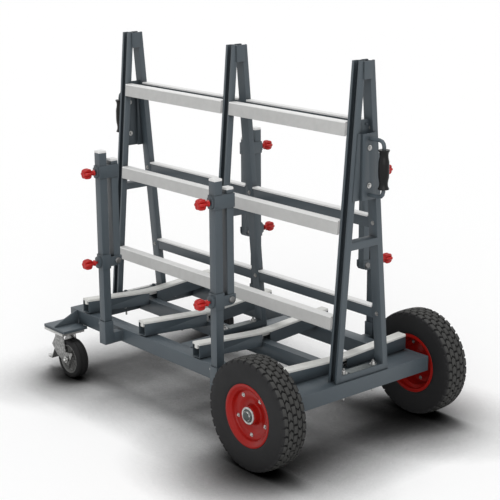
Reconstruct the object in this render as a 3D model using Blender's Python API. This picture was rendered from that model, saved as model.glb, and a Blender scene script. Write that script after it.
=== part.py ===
"""Slab buggy: a wheeled A-frame cart that carries stone slabs on edge.

X runs along the cart, from the swivel casters at -X to the two big wheels at +X.
Y runs across it, left is -Y and right is +Y. Z is up and the floor is at zero.
The origin is on the floor, under the middle A-frame. Lengths are in metres.
"""

import math

import bmesh
import bpy
from mathutils import Matrix, Vector

# Fits and weld overlaps
SEAT = 0.0003
RUN = 0.0005
WELD = 0.001
OVERRUN = 0.004

# Big pneumatic wheels
WHEEL_RADIUS = 0.200
TYRE_CLEARANCE = 0.0265
AXLE_LEAD = 0.034
TYRE_WIDTH = 0.105
TREAD_INSET = 0.0025
CENTRE_LUG_WIDTH = 0.034
LUG_DEPTH = 0.005
LUG_PITCHES = 18
SHOULDER_DROP = 0.004
BEAD_RADIUS = 0.1033
BEAD_WIDTH = 0.087
RIM_FLANGE_HEIGHT = 0.010
RIM_WALL = 0.0032
RIM_WELL_DEPTH = 0.010
RIM_WELL_WIDTH = 0.040
DISC_WALL = 0.005
DISC_DISH = 0.010
HUB_RADIUS = 0.034
HUB_WIDTH = 0.075
AXLE_RADIUS = 0.0125
AXLE_WASHER_RADIUS = 0.031
AXLE_WASHER_WALL = 0.003
AXLE_NUT_RADIUS = 0.016
AXLE_NUT_WIDTH = 0.009
AXLE_PLATE_WALL = 0.012
AXLE_PLATE_DROP = 0.038
AXLE_PLATE_FOOT = 0.056
AXLE_PLATE_LEAD = 0.049
AXLE_COLLAR_RADIUS = 0.020

# Base frame of square tubes
BASE_WIDTH = 0.650
BEAM_WIDTH = 0.060
BEAM_HEIGHT = 0.056
BEAM_WALL = 0.003
CENTRE_BEAM_WIDTH = 0.040
FRONT_BEAM_LEAD = 0.009
REAR_BEAM_SETBACK = 0.048
REAR_BEAM_WIDTH = 0.150
DRAIN_INSET = 0.075
DRAIN_RADIUS = 0.005

# A-frames of slotted channel
FRAME_PITCH = 0.661
FRAME_TOP = 1.3756
FRAME_HALF_TOP = 0.0338
FRAME_HALF_FOOT = 0.1287
LEG_WIDTH = 0.041
LEG_DEPTH = 0.024
LEG_WALL = 0.0025
LEG_SLOT = 0.021
FOOT_BAR_HEIGHT = 0.0235
STRUT_BOTTOM = 0.732
STRUT_HEIGHT = 0.026
TIE_WALL = 0.003
APEX_PLATE_HEIGHT = 0.060
APEX_PLATE_WIDTH = 0.040
APEX_PLATE_WALL = 0.005
APEX_PLATE_TOP_GAP = 0.0015

# Horizontal rails with a plastic facing
RAIL_TOPS = {"top": 1.1694, "middle": 0.8313, "bottom": 0.4952}
RAIL_HEIGHT = 0.048
RAIL_PROUD = 0.005
RAIL_FACING = 0.008
RAIL_TUBE_DEPTH = 0.020
RAIL_WALL = 0.002
FACING_STEP = 0.004
FACING_SHORT = 0.005
FACING_CHAMFER = 0.002

# Slab supports: two sloping channels under one bent plastic strip
SUPPORT_PLACE_SHARES = (-0.882, -0.295, 0.218)
SUPPORT_WIDTH = 0.041
SUPPORT_HEIGHT = 0.049
SUPPORT_WALL = 0.0025
SUPPORT_SLOT = 0.018
SUPPORT_SLOPE = 0.075
REAR_SUPPORT_INSET = 0.0255
REAR_SUPPORT_SLOPE = 0.052
STRIP_HEIGHT = 0.010
STRIP_CHAMFER = 0.003
STRIP_ROOT_WIDTH = 0.016
STRIP_ROOT_DEPTH = 0.014
STRIP_BEND_RADIUS = 0.035
STRIP_STEPS = 2

# Side posts, their sockets and what slides on them
POST_TO_TYRE = 0.012
POST_SIDE = 0.033
POST_TOP = 0.979
TUBE_WALL = 0.0025
CAP_HEIGHT = 0.009
CAP_CHAMFER = 0.002
SOCKET_WALL = 0.0032
SOCKET_ABOVE_BEAM = 0.041
SOCKET_RISE = 0.0035
SOCKET_FLOOR = 0.003
STUB_WIDTH = 0.034
STUB_DROP = 0.010
STUB_REACH = 0.042
BAR_SIDE = 0.030
BAR_GAP = 0.0205
BAR_TOP_DROP = 0.036
BAR_FOOT_RISE = 0.012
COLLAR_WALL = 0.0025
UPPER_COLLAR_DROP = 0.107
UPPER_COLLAR_HEIGHT = 0.049
LOWER_COLLAR_BOTTOM = 0.515
LOWER_COLLAR_HEIGHT = 0.058
CHEEK_WALL = 0.004
CHEEK_RADIUS = 0.019
PIVOT_RISE = 0.015
PIVOT_RADIUS = 0.012
PIVOT_HEAD = 0.006
BOSS_WIDTH = 0.028
BOSS_HEIGHT = 0.044
UPPER_BOSS_DEPTH = 0.008
LOWER_BOSS_DEPTH = 0.013
BOSS_CHAMFER = 0.008

# Star knobs
KNOB_RADIUS = 0.0225
KNOB_LOBES = 6
KNOB_LOBE_DEPTH = 0.0028
KNOB_THICKNESS = 0.030
KNOB_NECK_RADIUS = 0.0095
KNOB_NECK_LENGTH = 0.022
KNOB_STUD_RADIUS = 0.005
UPPER_STUD_LENGTH = 0.004
LOWER_STUD_LENGTH = 0.010

# Handles on the end frames
HANDLE_BELOW_TOP = 0.3566
PANEL_HALF_FACE = 0.031
PANEL_EDGE_INSET = 0.010
PANEL_PROUD = 0.0155
PANEL_WALL = 0.0025
PANEL_HOLE_RADIUS = 0.0055
PANEL_HOLE_OFFSET = 0.065
ROD_RADIUS = 0.007
ROD_INSET = 0.0185
ROD_BEND = 0.020
GRIP_STANDOFF = 0.0675
GRIP_HALF_LENGTH = 0.0675
GRIP_END_GAP = 0.009
GRIP_RADIUS = 0.0185
GRIP_END_RADIUS = 0.0195
GRIP_WAIST_RADIUS = 0.0145
GRIP_LIP = 0.004
GRIP_WAIST_INSET = 0.026

# Swivel casters and their outboard brackets
CASTER_SETBACK = 0.015
CASTER_OUT = 0.060
CASTER_RADIUS = 0.080
CASTER_WIDTH = 0.050
CASTER_TRAIL = 0.0545
CASTER_TREAD = 0.022
CASTER_DISH = 0.010
CASTER_HUB_RADIUS = 0.019
CASTER_HUB_STEP = 0.0015
CASTER_BOLT_RADIUS = 0.006
CASTER_PLATE_WALL = 0.004
CASTER_PLATE_LENGTH = 0.135
CASTER_PLATE_WIDTH = 0.106
BRACKET_WALL = 0.010
BRACKET_LENGTH = 0.150
BRACKET_WIDTH = 0.1125
BRACKET_OFFSET = 0.003
BRACKET_TONGUE = 0.030
GUSSET_WALL = 0.006
GUSSET_INSET = 0.0045
GUSSET_FOOT = 0.006
CROWN_RADIUS = 0.036
CROWN_HEIGHT = 0.014
FORK_WALL = 0.0035
FORK_BRIDGE_WALL = 0.005
FORK_CLEARANCE = 0.0145
FORK_TOP_LEAD = 0.030
FORK_OUTLINE_SHARES = (
    (0.55, 1.35),
    (1.2, 1.425),
    (0.8, 0.6875),
    (0.625, 0.6875),
    (-0.2875, 1.0625),
    (-0.7, 1.5125),
    (-0.375, 1.9875),
)
PEDAL_PIVOT_SHARES = (-0.5, 1.4)
PEDAL_PIN_RADIUS = 0.004
PEDAL_REACH = 0.055
PEDAL_DROP = 0.058
PEDAL_WALL = 0.003
PEDAL_TREAD = 0.026

# Roundness of turned pieces
TYRE_RING_STEPS = 3
LUG_STAGGER = 2
RIM_SIDES = 24
CASTER_SIDES = 20
SMALL_SIDES = 16
PIVOT_SIDES = 12
ROD_SIDES = 10
GRIP_SIDES = 10
BEND_STEPS = 3
LOBE_STEPS = 3

# Places that follow from the sizes above
CASTER_HUB_WIDTH = CASTER_WIDTH + 2 * CASTER_HUB_STEP
FORK_TOP = 2 * CASTER_RADIUS + FORK_CLEARANCE + FORK_BRIDGE_WALL - WELD + CROWN_HEIGHT
CASTER_PLATE_BOTTOM = FORK_TOP + RUN
BRACKET_BOTTOM = CASTER_PLATE_BOTTOM + CASTER_PLATE_WALL - WELD / 2
BRACKET_TOP = BRACKET_BOTTOM + BRACKET_WALL
BASE_BOTTOM = BRACKET_TOP - WELD / 2
BASE_TOP = BASE_BOTTOM + BEAM_HEIGHT
BASE_HALF = BASE_WIDTH / 2
SIDE_INNER = BASE_HALF - BEAM_WIDTH
FRONT_BEAM_X = -FRAME_PITCH - FRONT_BEAM_LEAD
REAR_BEAM_X = FRAME_PITCH - REAR_BEAM_SETBACK
FRONT_BEAM_BACK = FRONT_BEAM_X + BEAM_WIDTH / 2
REAR_BEAM_FRONT = REAR_BEAM_X - REAR_BEAM_WIDTH / 2
REAR_BEAM_BACK = REAR_BEAM_X + REAR_BEAM_WIDTH / 2
FRAME_FOOT = BASE_TOP + SEAT
FRAMES = {"front": -FRAME_PITCH, "middle": 0, "rear": FRAME_PITCH}
SIDES = {"left": -1, "right": 1}
CASTER_X = FRONT_BEAM_X + CASTER_SETBACK
CASTER_Y = BASE_HALF + CASTER_OUT
AXLE_X = REAR_BEAM_X - AXLE_LEAD
WHEEL_Y = BASE_HALF + TYRE_CLEARANCE + TYRE_WIDTH / 2
REAR_SUPPORT_X = REAR_BEAM_FRONT + REAR_SUPPORT_INSET
SOCKET_SIDE = POST_SIDE + 2 * (SEAT + SOCKET_WALL)
POST_X = AXLE_X - WHEEL_RADIUS - POST_TO_TYRE - SOCKET_SIDE / 2
POST_Y = BASE_HALF + STUB_REACH + SOCKET_SIDE / 2
POSTS = {"front": -POST_X, "rear": POST_X}
BAR_Y = POST_Y - POST_SIDE / 2 - BAR_GAP - BAR_SIDE / 2
BAR_TOP = POST_TOP - BAR_TOP_DROP
BAR_BOTTOM = LOWER_COLLAR_BOTTOM + BAR_FOOT_RISE
PIVOT_Z = BAR_BOTTOM + PIVOT_RISE
UPPER_COLLAR_BOTTOM = POST_TOP - UPPER_COLLAR_DROP
UPPER_KNOB_Z = UPPER_COLLAR_BOTTOM + UPPER_COLLAR_HEIGHT / 2
LOWER_KNOB_Z = LOWER_COLLAR_BOTTOM + LOWER_COLLAR_HEIGHT / 2
COLLAR_FACE_Y = POST_Y + POST_SIDE / 2 + RUN + COLLAR_WALL
HANDLE_Z = FRAME_TOP - HANDLE_BELOW_TOP
ROD_HALF_SPAN = GRIP_HALF_LENGTH + GRIP_END_GAP + ROD_BEND
PANEL_HALF_HEIGHT = ROD_HALF_SPAN + ROD_INSET


def half_width(z):
    """Distance from the middle plane to the outer face of an A-frame leg at height z."""
    rise = (FRAME_TOP - z) / (FRAME_TOP - FRAME_FOOT)
    return FRAME_HALF_TOP + (FRAME_HALF_FOOT - FRAME_HALF_TOP) * rise


def paint(name, color, roughness, metallic):
    """A Principled material with one colour."""
    finish = bpy.data.materials.new(name)
    finish.use_nodes = True
    shader = finish.node_tree.nodes["Principled BSDF"]
    shader.inputs["Base Color"].default_value = (*color, 1)
    shader.inputs["Roughness"].default_value = roughness
    shader.inputs["Metallic"].default_value = metallic
    return finish


def make_object(name, vertices, faces, finish, smooth=False):
    """An object from vertices and faces, its faces turned outwards."""
    mesh = bpy.data.meshes.new(name)
    mesh.from_pydata([tuple(vertex) for vertex in vertices], [], faces)
    body = bmesh.new()
    body.from_mesh(mesh)
    bmesh.ops.recalc_face_normals(body, faces=body.faces)
    body.to_mesh(mesh)
    body.free()
    mesh.materials.append(finish)
    if smooth:
        mesh.shade_smooth()
        mesh.set_sharp_from_angle(angle=math.radians(35))
    thing = bpy.data.objects.new(name, mesh)
    bpy.context.scene.collection.objects.link(thing)
    return thing


def loft(name, outlines, finish, smooth=False):
    """A solid through matching closed outlines, capped at both ends."""
    count = len(outlines[0])
    vertices = [point for outline in outlines for point in outline]
    faces = []
    for level in range(len(outlines) - 1):
        low = level * count
        high = low + count
        for i in range(count):
            j = (i + 1) % count
            faces.append((low + i, low + j, high + j, high + i))
    faces.append(tuple(range(count)))
    faces.append(tuple(range(len(vertices) - count, len(vertices))))
    return make_object(name, vertices, faces, finish, smooth)


def hollow_loft(name, outers, inners, finish):
    """A tube between two matching pairs of outer and inner outlines, open at both ends."""
    vertices = []
    faces = []
    starts = {}
    for kind, rings in (("outer", outers), ("inner", inners)):
        for end, ring in enumerate(rings):
            starts[kind, end] = len(vertices)
            vertices.extend(ring)
        for i in range(len(rings[0])):
            j = (i + 1) % len(rings[0])
            low = starts[kind, 0]
            high = starts[kind, 1]
            faces.append((low + i, low + j, high + j, high + i))
    for end in (0, 1):
        outer = starts["outer", end]
        inner = starts["inner", end]
        for i in range(4):
            j = (i + 1) % 4
            faces.append((outer + i, outer + j, inner + j, inner + i))
    return make_object(name, vertices, faces, finish)


def rectangle(x_range, y_range):
    """The four corners of a rectangle, in order round it."""
    x_low, x_high = x_range
    y_low, y_high = y_range
    return [(x_low, y_low), (x_high, y_low), (x_high, y_high), (x_low, y_high)]


def around(centre, size):
    """The range of a length around its centre."""
    return centre - size / 2, centre + size / 2


def spread(outline, axis, place):
    """A flat outline as points in space, at a place along an axis."""
    if axis == "X":
        return [Vector((place, u, v)) for u, v in outline]
    if axis == "Y":
        return [Vector((u, place, v)) for u, v in outline]
    return [Vector((u, v, place)) for u, v in outline]


def extrude(name, outline, axis, reach, finish, smooth=False):
    """A flat outline carried along an axis, from one place to another."""
    ends = [spread(outline, axis, place) for place in reach]
    return loft(name, ends, finish, smooth)


def box(name, x_range, y_range, z_range, finish):
    """A block between three ranges."""
    return extrude(name, rectangle(x_range, y_range), "Z", z_range, finish)


def square_tube(name, axis, reach, u_range, v_range, wall, finish):
    """A square tube along an axis, open at both ends."""
    outer = rectangle(u_range, v_range)
    bore = rectangle((u_range[0] + wall, u_range[1] - wall), (v_range[0] + wall, v_range[1] - wall))
    outers = [spread(outer, axis, place) for place in reach]
    inners = [spread(bore, axis, place) for place in reach]
    return hollow_loft(name, outers, inners, finish)


def turn(name, profile, axis, sides, finish, closed=False, phase=0):
    """A solid of revolution of (radius, place) points around an axis through the origin.

    An open profile starts and ends on the axis; a closed one is a ring's section.
    """
    vertices = []
    rings = []
    for radius, place in profile:
        if radius == 0:
            rings.append([len(vertices)])
            circle = [(0, 0)]
        else:
            rings.append(list(range(len(vertices), len(vertices) + sides)))
            angles = [phase + 2 * math.pi * i / sides for i in range(sides)]
            circle = [(radius * math.cos(a), radius * math.sin(a)) for a in angles]
        vertices.extend(spread(circle, axis, place))
    pairs = list(zip(rings, rings[1:]))
    if closed:
        pairs.append((rings[-1], rings[0]))
    faces = []
    for near, far in pairs:
        for i in range(sides):
            j = (i + 1) % sides
            corners = [near[i % len(near)], near[j % len(near)], far[j % len(far)], far[i % len(far)]]
            faces.append(tuple(dict.fromkeys(corners)))
    return make_object(name, vertices, faces, finish, smooth=True)


def combine(target, tools, operation):
    """Joins or cuts the target with each tool in turn, and removes the tools."""
    for tool in tools:
        step = target.modifiers.new(operation, "BOOLEAN")
        step.operation = operation
        step.solver = "EXACT"
        step.object = tool
        bpy.context.view_layer.update()
        graph = bpy.context.evaluated_depsgraph_get()
        result = bpy.data.meshes.new_from_object(target.evaluated_get(graph))
        target.modifiers.clear()
        target.data = result
        bpy.data.objects.remove(tool, do_unlink=True)
    target.data.name = target.name
    return target


def join(target, *tools):
    return combine(target, tools, "UNION")


def cut(target, *tools):
    return combine(target, tools, "DIFFERENCE")


def shift(thing, offset):
    """Moves an object's mesh, and leaves its origin where it is."""
    thing.data.transform(Matrix.Translation(Vector(offset)))
    return thing


def set_origin(thing, place):
    """Puts an object's origin at a place, and leaves its shape where it is."""
    thing.data.transform(Matrix.Translation(-Vector(place)))
    thing.location = place
    return thing


def circle_points(centre, radius, sides, start=0, sweep=2 * math.pi, whole=True):
    """Points along a circle or an arc, in order."""
    steps = sides if whole else sides - 1
    angles = [start + sweep * i / steps for i in range(sides)]
    return [(centre[0] + radius * math.cos(a), centre[1] + radius * math.sin(a)) for a in angles]


def channel_outline(width, depth, wall, slot):
    """The section of a slotted channel; its slot opens at depth zero, wholly round its centre line."""
    half = width / 2
    gap = slot / 2
    return [
        (-gap, 0),
        (-half, 0),
        (-half, depth),
        (half, depth),
        (half, 0),
        (gap, 0),
        (gap, wall),
        (half - wall, wall),
        (half - wall, depth - wall),
        (wall - half, depth - wall),
        (wall - half, wall),
        (-gap, wall),
    ]


# Base frame


def side_beam(label, side, finish):
    """A side tube with two post sockets, each carried outboard on a short stub."""
    y_range = sorted((side * SIDE_INNER, side * BASE_HALF))
    reach = (FRONT_BEAM_BACK + SEAT, REAR_BEAM_FRONT - SEAT)
    beam = square_tube(
        "side_beam_" + label, "X", reach, y_range, (BASE_BOTTOM, BASE_TOP), BEAM_WALL, finish
    )
    bore = POST_SIDE + 2 * SEAT
    socket_face = POST_Y - SOCKET_SIDE / 2
    socket_top = BASE_TOP + SOCKET_ABOVE_BEAM
    low = BASE_BOTTOM + SOCKET_RISE
    for x in POSTS.values():
        stub_y = sorted((side * (BASE_HALF - WELD), side * (socket_face + WELD)))
        stub_z = (low, BASE_TOP - STUB_DROP)
        stub = box("stub", around(x, STUB_WIDTH), stub_y, stub_z, finish)
        socket_x = around(x, SOCKET_SIDE)
        socket_y = around(side * POST_Y, SOCKET_SIDE)
        socket = box("socket", socket_x, socket_y, (low, socket_top), finish)
        join(beam, stub, socket)
        pocket_z = (low + SOCKET_FLOOR, socket_top + OVERRUN)
        cut(beam, box("pocket", around(x, bore), around(side * POST_Y, bore), pocket_z, finish))
    return set_origin(beam, (0, side * (BASE_HALF - BEAM_WIDTH / 2), BASE_BOTTOM))


def centre_spine(finish):
    """The centre tube and the middle cross tube, welded into one cross and open inside."""
    along = (FRONT_BEAM_BACK + SEAT, REAR_BEAM_FRONT - SEAT)
    across = (SEAT - SIDE_INNER, SIDE_INNER - SEAT)
    height = (BASE_BOTTOM, BASE_TOP)
    spine = box("centre_spine", along, around(0, CENTRE_BEAM_WIDTH), height, finish)
    join(spine, box("cross", around(0, BEAM_WIDTH), across, height, finish))
    inside = (BASE_BOTTOM + BEAM_WALL, BASE_TOP - BEAM_WALL)
    long_cut = (along[0] - OVERRUN, along[1] + OVERRUN)
    wide_cut = (across[0] - OVERRUN, across[1] + OVERRUN)
    narrow = around(0, CENTRE_BEAM_WIDTH - 2 * BEAM_WALL)
    broad = around(0, BEAM_WIDTH - 2 * BEAM_WALL)
    cut(spine, box("long_bore", long_cut, narrow, inside, finish))
    cut(spine, box("wide_bore", broad, wide_cut, inside, finish))
    return set_origin(spine, (0, 0, BASE_BOTTOM))


def caster_bracket(side, finish):
    """The plate beside the front corner with its gusset, and the caster's own top plate below."""
    plate_x = around(CASTER_X, BRACKET_LENGTH)
    outer = BASE_HALF + BRACKET_WIDTH
    inner = BASE_HALF + SEAT
    tongue = BASE_HALF - BRACKET_TONGUE
    tongue_x = FRONT_BEAM_BACK - SEAT
    outline = [
        (plate_x[0], side * outer),
        (plate_x[1], side * outer),
        (plate_x[1], side * inner),
        (tongue_x, side * inner),
        (tongue_x, side * tongue),
        (plate_x[0], side * tongue),
    ]
    plate = extrude("bracket", outline, "Z", (BRACKET_BOTTOM, BRACKET_TOP), finish)
    gusset_end = outer - GUSSET_INSET
    gusset_outline = [
        (side * (BASE_HALF - WELD), BRACKET_TOP - WELD),
        (side * gusset_end, BRACKET_TOP - WELD),
        (side * gusset_end, BRACKET_TOP + GUSSET_FOOT),
        (side * (BASE_HALF - WELD), BASE_TOP - WELD),
    ]
    gusset = extrude("gusset", gusset_outline, "X", around(CASTER_X, GUSSET_WALL), finish)
    top_plate = box(
        "caster_plate",
        around(CASTER_X, CASTER_PLATE_LENGTH),
        around(side * (CASTER_Y + BRACKET_OFFSET), CASTER_PLATE_WIDTH),
        (CASTER_PLATE_BOTTOM, BRACKET_BOTTOM + WELD),
        finish,
    )
    return join(plate, gusset, top_plate)


def front_cross_beam(finish):
    """The front tube, closed at its ends but for drain holes, with a caster bracket on each."""
    beam_z = (BASE_BOTTOM, BASE_TOP)
    beam_y = (-BASE_HALF, BASE_HALF)
    beam = box("front_cross_beam", around(FRONT_BEAM_X, BEAM_WIDTH), beam_y, beam_z, finish)
    inside_x = around(FRONT_BEAM_X, BEAM_WIDTH - 2 * BEAM_WALL)
    inside_y = (BEAM_WALL - BASE_HALF, BASE_HALF - BEAM_WALL)
    inside_z = (BASE_BOTTOM + BEAM_WALL, BASE_TOP - BEAM_WALL)
    cut(beam, box("inside", inside_x, inside_y, inside_z, finish))
    for side in SIDES.values():
        drain = (FRONT_BEAM_X, side * (BASE_HALF - DRAIN_INSET))
        ring = circle_points(drain, DRAIN_RADIUS, ROD_SIDES)
        drain_z = (BASE_BOTTOM - OVERRUN, BASE_BOTTOM + OVERRUN)
        cut(beam, extrude("drain", ring, "Z", drain_z, finish))
    join(beam, *[caster_bracket(side, finish) for side in SIDES.values()])
    return set_origin(beam, (FRONT_BEAM_X, 0, BASE_BOTTOM))


def rear_beam(finish):
    """The wide rear tube that carries the rear A-frame."""
    beam = square_tube(
        "rear_beam",
        "Y",
        (-BASE_HALF, BASE_HALF),
        around(REAR_BEAM_X, REAR_BEAM_WIDTH),
        (BASE_BOTTOM, BASE_TOP),
        BEAM_WALL,
        finish,
    )
    return set_origin(beam, (REAR_BEAM_X, 0, BASE_BOTTOM))


def axle_carrier(label, side, finish):
    """The end plate of the rear beam with its stub axle, washer and nut."""
    inner = BASE_HALF + SEAT
    outer = inner + AXLE_PLATE_WALL
    low = BASE_BOTTOM - AXLE_PLATE_DROP
    foot_x = around(AXLE_X, AXLE_PLATE_FOOT)
    outline = [
        (AXLE_X - AXLE_PLATE_LEAD, BASE_TOP),
        (AXLE_X - AXLE_PLATE_LEAD, BASE_BOTTOM),
        (foot_x[0], low),
        (foot_x[1], low),
        (AXLE_X + AXLE_PLATE_LEAD, BASE_BOTTOM),
        (REAR_BEAM_BACK, BASE_BOTTOM),
        (REAR_BEAM_BACK, BASE_TOP),
    ]
    carrier = extrude("axle_carrier_" + label, outline, "Y", (side * inner, side * outer), finish)
    hub_inner = WHEEL_Y - HUB_WIDTH / 2 - RUN
    hub_outer = WHEEL_Y + HUB_WIDTH / 2 + RUN
    washer = hub_outer + AXLE_WASHER_WALL
    nut = washer + AXLE_NUT_WIDTH
    profile = [
        (0, outer - WELD),
        (AXLE_COLLAR_RADIUS, outer - WELD),
        (AXLE_COLLAR_RADIUS, hub_inner),
        (AXLE_RADIUS, hub_inner),
        (AXLE_RADIUS, hub_outer),
        (AXLE_WASHER_RADIUS, hub_outer),
        (AXLE_WASHER_RADIUS, washer),
        (AXLE_NUT_RADIUS, washer),
        (AXLE_NUT_RADIUS, nut),
        (0, nut),
    ]
    profile = [(radius, side * place) for radius, place in profile]
    axle = shift(turn("axle", profile, "Y", SMALL_SIDES, finish), (AXLE_X, 0, WHEEL_RADIUS))
    join(carrier, axle)
    return set_origin(carrier, (AXLE_X, side * inner, WHEEL_RADIUS))


# A-frames, rails and supports


def frame_leg(x, side, finish):
    """A leaning leg of slotted channel, cut level at the top and the foot."""
    section = channel_outline(LEG_WIDTH, LEG_DEPTH, LEG_WALL, LEG_SLOT)
    outlines = []
    for z in (FRAME_FOOT, FRAME_TOP):
        face = half_width(z)
        outlines.append([Vector((x + u, side * (face - depth), z)) for u, depth in section])
    return loft("leg", outlines, finish)


def tie_bar(x, bottom, height, finish):
    """A cross bar of open channel between the legs, its ends cut to their slope."""
    half = LEG_WIDTH / 2
    top = bottom + height
    section = [
        (-half, bottom),
        (-half, top),
        (half, top),
        (half, bottom),
        (half - TIE_WALL, bottom),
        (half - TIE_WALL, top - TIE_WALL),
        (TIE_WALL - half, top - TIE_WALL),
        (TIE_WALL - half, bottom),
    ]
    outlines = []
    for side in SIDES.values():
        outline = []
        for u, z in section:
            outline.append(Vector((x + u, side * (half_width(z) - LEG_DEPTH + WELD), z)))
        outlines.append(outline)
    return loft("tie", outlines, finish)


def a_frame(label, x, finish):
    """One welded A-frame: two legs, a foot bar, a strut and two apex plates."""
    frame = frame_leg(x, SIDES["left"], finish)
    frame.name = "a_frame_" + label
    parts = [
        frame_leg(x, SIDES["right"], finish),
        tie_bar(x, FRAME_FOOT, FOOT_BAR_HEIGHT, finish),
        tie_bar(x, STRUT_BOTTOM, STRUT_HEIGHT, finish),
    ]
    plate_top = FRAME_TOP - APEX_PLATE_TOP_GAP
    plate_z = (plate_top - APEX_PLATE_HEIGHT, plate_top)
    for end in (-1, 1):
        inner = x + end * (LEG_WIDTH / 2 - WELD)
        outer = x + end * (LEG_WIDTH / 2 + APEX_PLATE_WALL)
        plate_x = sorted((inner, outer))
        parts.append(box("apex_plate", plate_x, around(0, APEX_PLATE_WIDTH), plate_z, finish))
    bar, strut, *plates = parts[1:]
    join(frame, bar, parts[0], strut, *plates)
    return set_origin(frame, (x, 0, FRAME_FOOT))


def rail(name, x_range, side, top, finish):
    """A steel tube with a taller plastic facing, leaning with the legs that it lies between."""
    bottom = top - RAIL_HEIGHT
    back = RAIL_PROUD - RAIL_FACING
    rear = back - RAIL_TUBE_DEPTH
    low = bottom + FACING_STEP
    high = top - FACING_STEP
    edge = RAIL_PROUD - FACING_CHAMFER
    strip = [
        (back - WELD, bottom),
        (edge, bottom),
        (RAIL_PROUD, bottom + FACING_CHAMFER),
        (RAIL_PROUD, top - FACING_CHAMFER),
        (edge, top),
        (back - WELD, top),
    ]
    outer = rectangle((rear, back), (low, high))
    bore = rectangle((rear + RAIL_WALL, back - RAIL_WALL), (low + RAIL_WALL, high - RAIL_WALL))

    def lean(outline, x):
        return [Vector((x, side * (half_width(z) + out), z)) for out, z in outline]

    outers = [lean(outer, x) for x in x_range]
    inners = [lean(bore, x) for x in x_range]
    tube = hollow_loft(name, outers, inners, finish)
    strip_reach = (x_range[0], x_range[1] - FACING_SHORT)
    join(tube, loft("facing", [lean(strip, x) for x in strip_reach], finish))
    middle = (x_range[0] + x_range[1]) / 2
    return set_origin(tube, (middle, side * half_width(bottom), bottom))


def slab_support(name, x, slope, finish):
    """Two channels that slope down to the centre, under one strip bent in the middle.

    The rear support is notched where it crosses the rear beam.
    """
    seat_z = BASE_TOP + SEAT
    half = SUPPORT_WIDTH / 2
    inner_end = CENTRE_BEAM_WIDTH / 2 + SEAT

    def underside(y):
        return seat_z + slope * (abs(y) - SIDE_INNER)

    section = channel_outline(SUPPORT_WIDTH, SUPPORT_HEIGHT, SUPPORT_WALL, SUPPORT_SLOT)
    channels = []
    for side in SIDES.values():
        outlines = []
        for y in (inner_end, BASE_HALF):
            top = underside(y) + SUPPORT_HEIGHT
            outlines.append([Vector((x + u, side * y, top - depth)) for u, depth in section])
        channels.append(loft("channel", outlines, finish))

    edge = half - STRIP_CHAMFER
    shoulder = STRIP_HEIGHT - STRIP_CHAMFER
    root = STRIP_ROOT_WIDTH / 2
    strip_section = [
        (-half, 0),
        (-half, shoulder),
        (-edge, STRIP_HEIGHT),
        (edge, STRIP_HEIGHT),
        (half, shoulder),
        (half, 0),
        (root, 0),
        (root, -STRIP_ROOT_DEPTH),
        (-root, -STRIP_ROOT_DEPTH),
        (-root, 0),
    ]
    places = [BASE_HALF]
    for i in range(STRIP_STEPS):
        places.append(2 * STRIP_BEND_RADIUS * (1 - i / STRIP_STEPS))
    places = [-y for y in places] + [0] + places[::-1]
    outlines = []
    for y in places:
        fade = STRIP_BEND_RADIUS / (abs(y) + STRIP_BEND_RADIUS)
        bent = slope * (math.hypot(y, STRIP_BEND_RADIUS) - abs(y)) * fade
        base = underside(y) + SUPPORT_HEIGHT + bent
        outlines.append([Vector((x + u, y, base - WELD + v)) for u, v in strip_section])
    support = loft(name, outlines, finish)
    join(support, *channels)
    if x > REAR_BEAM_FRONT:
        notch_x = around(x, SUPPORT_WIDTH + 2 * OVERRUN)
        notch_y = around(0, BASE_WIDTH + 2 * OVERRUN)
        cut(support, box("notch", notch_x, notch_y, (BASE_BOTTOM, seat_z), finish))
    return set_origin(support, (x, 0, seat_z))


# Posts, collars, extension bars and knobs


def capped_tube(name, x, y, side, z_range, finish):
    """A square tube, open below, closed by a chamfered cap on top."""
    bottom, top = z_range
    shoulder = top - CAP_CHAMFER
    inset = side - 2 * CAP_CHAMFER
    outlines = [
        spread(rectangle(around(x, side), around(y, side)), "Z", bottom),
        spread(rectangle(around(x, side), around(y, side)), "Z", shoulder),
        spread(rectangle(around(x, inset), around(y, inset)), "Z", top),
    ]
    tube = loft(name, outlines, finish)
    bore = side - 2 * TUBE_WALL
    bore_z = (bottom - OVERRUN, top - CAP_HEIGHT)
    return cut(tube, box("bore", around(x, bore), around(y, bore), bore_z, finish))


def post(label, end, x, side, finish):
    """A post that stands in its socket."""
    name = "post_" + label + "_" + end
    bottom = BASE_BOTTOM + SOCKET_RISE + SOCKET_FLOOR + SEAT
    tube = capped_tube(name, x, side * POST_Y, POST_SIDE, (bottom, POST_TOP), finish)
    return set_origin(tube, (x, side * POST_Y, bottom))


def clamp_boss(x, side, z, depth, finish):
    """The eight-sided boss on a collar that its knob screws into."""
    width = BOSS_WIDTH / 2
    height = BOSS_HEIGHT / 2
    trim = BOSS_CHAMFER
    outline = [
        (x - width, z + trim - height),
        (x - width, z + height - trim),
        (x + trim - width, z + height),
        (x + width - trim, z + height),
        (x + width, z + height - trim),
        (x + width, z + trim - height),
        (x + width - trim, z - height),
        (x + trim - width, z - height),
    ]
    reach = (side * (COLLAR_FACE_Y - WELD), side * (COLLAR_FACE_Y + depth))
    return extrude("boss", outline, "Y", reach, finish)


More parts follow.
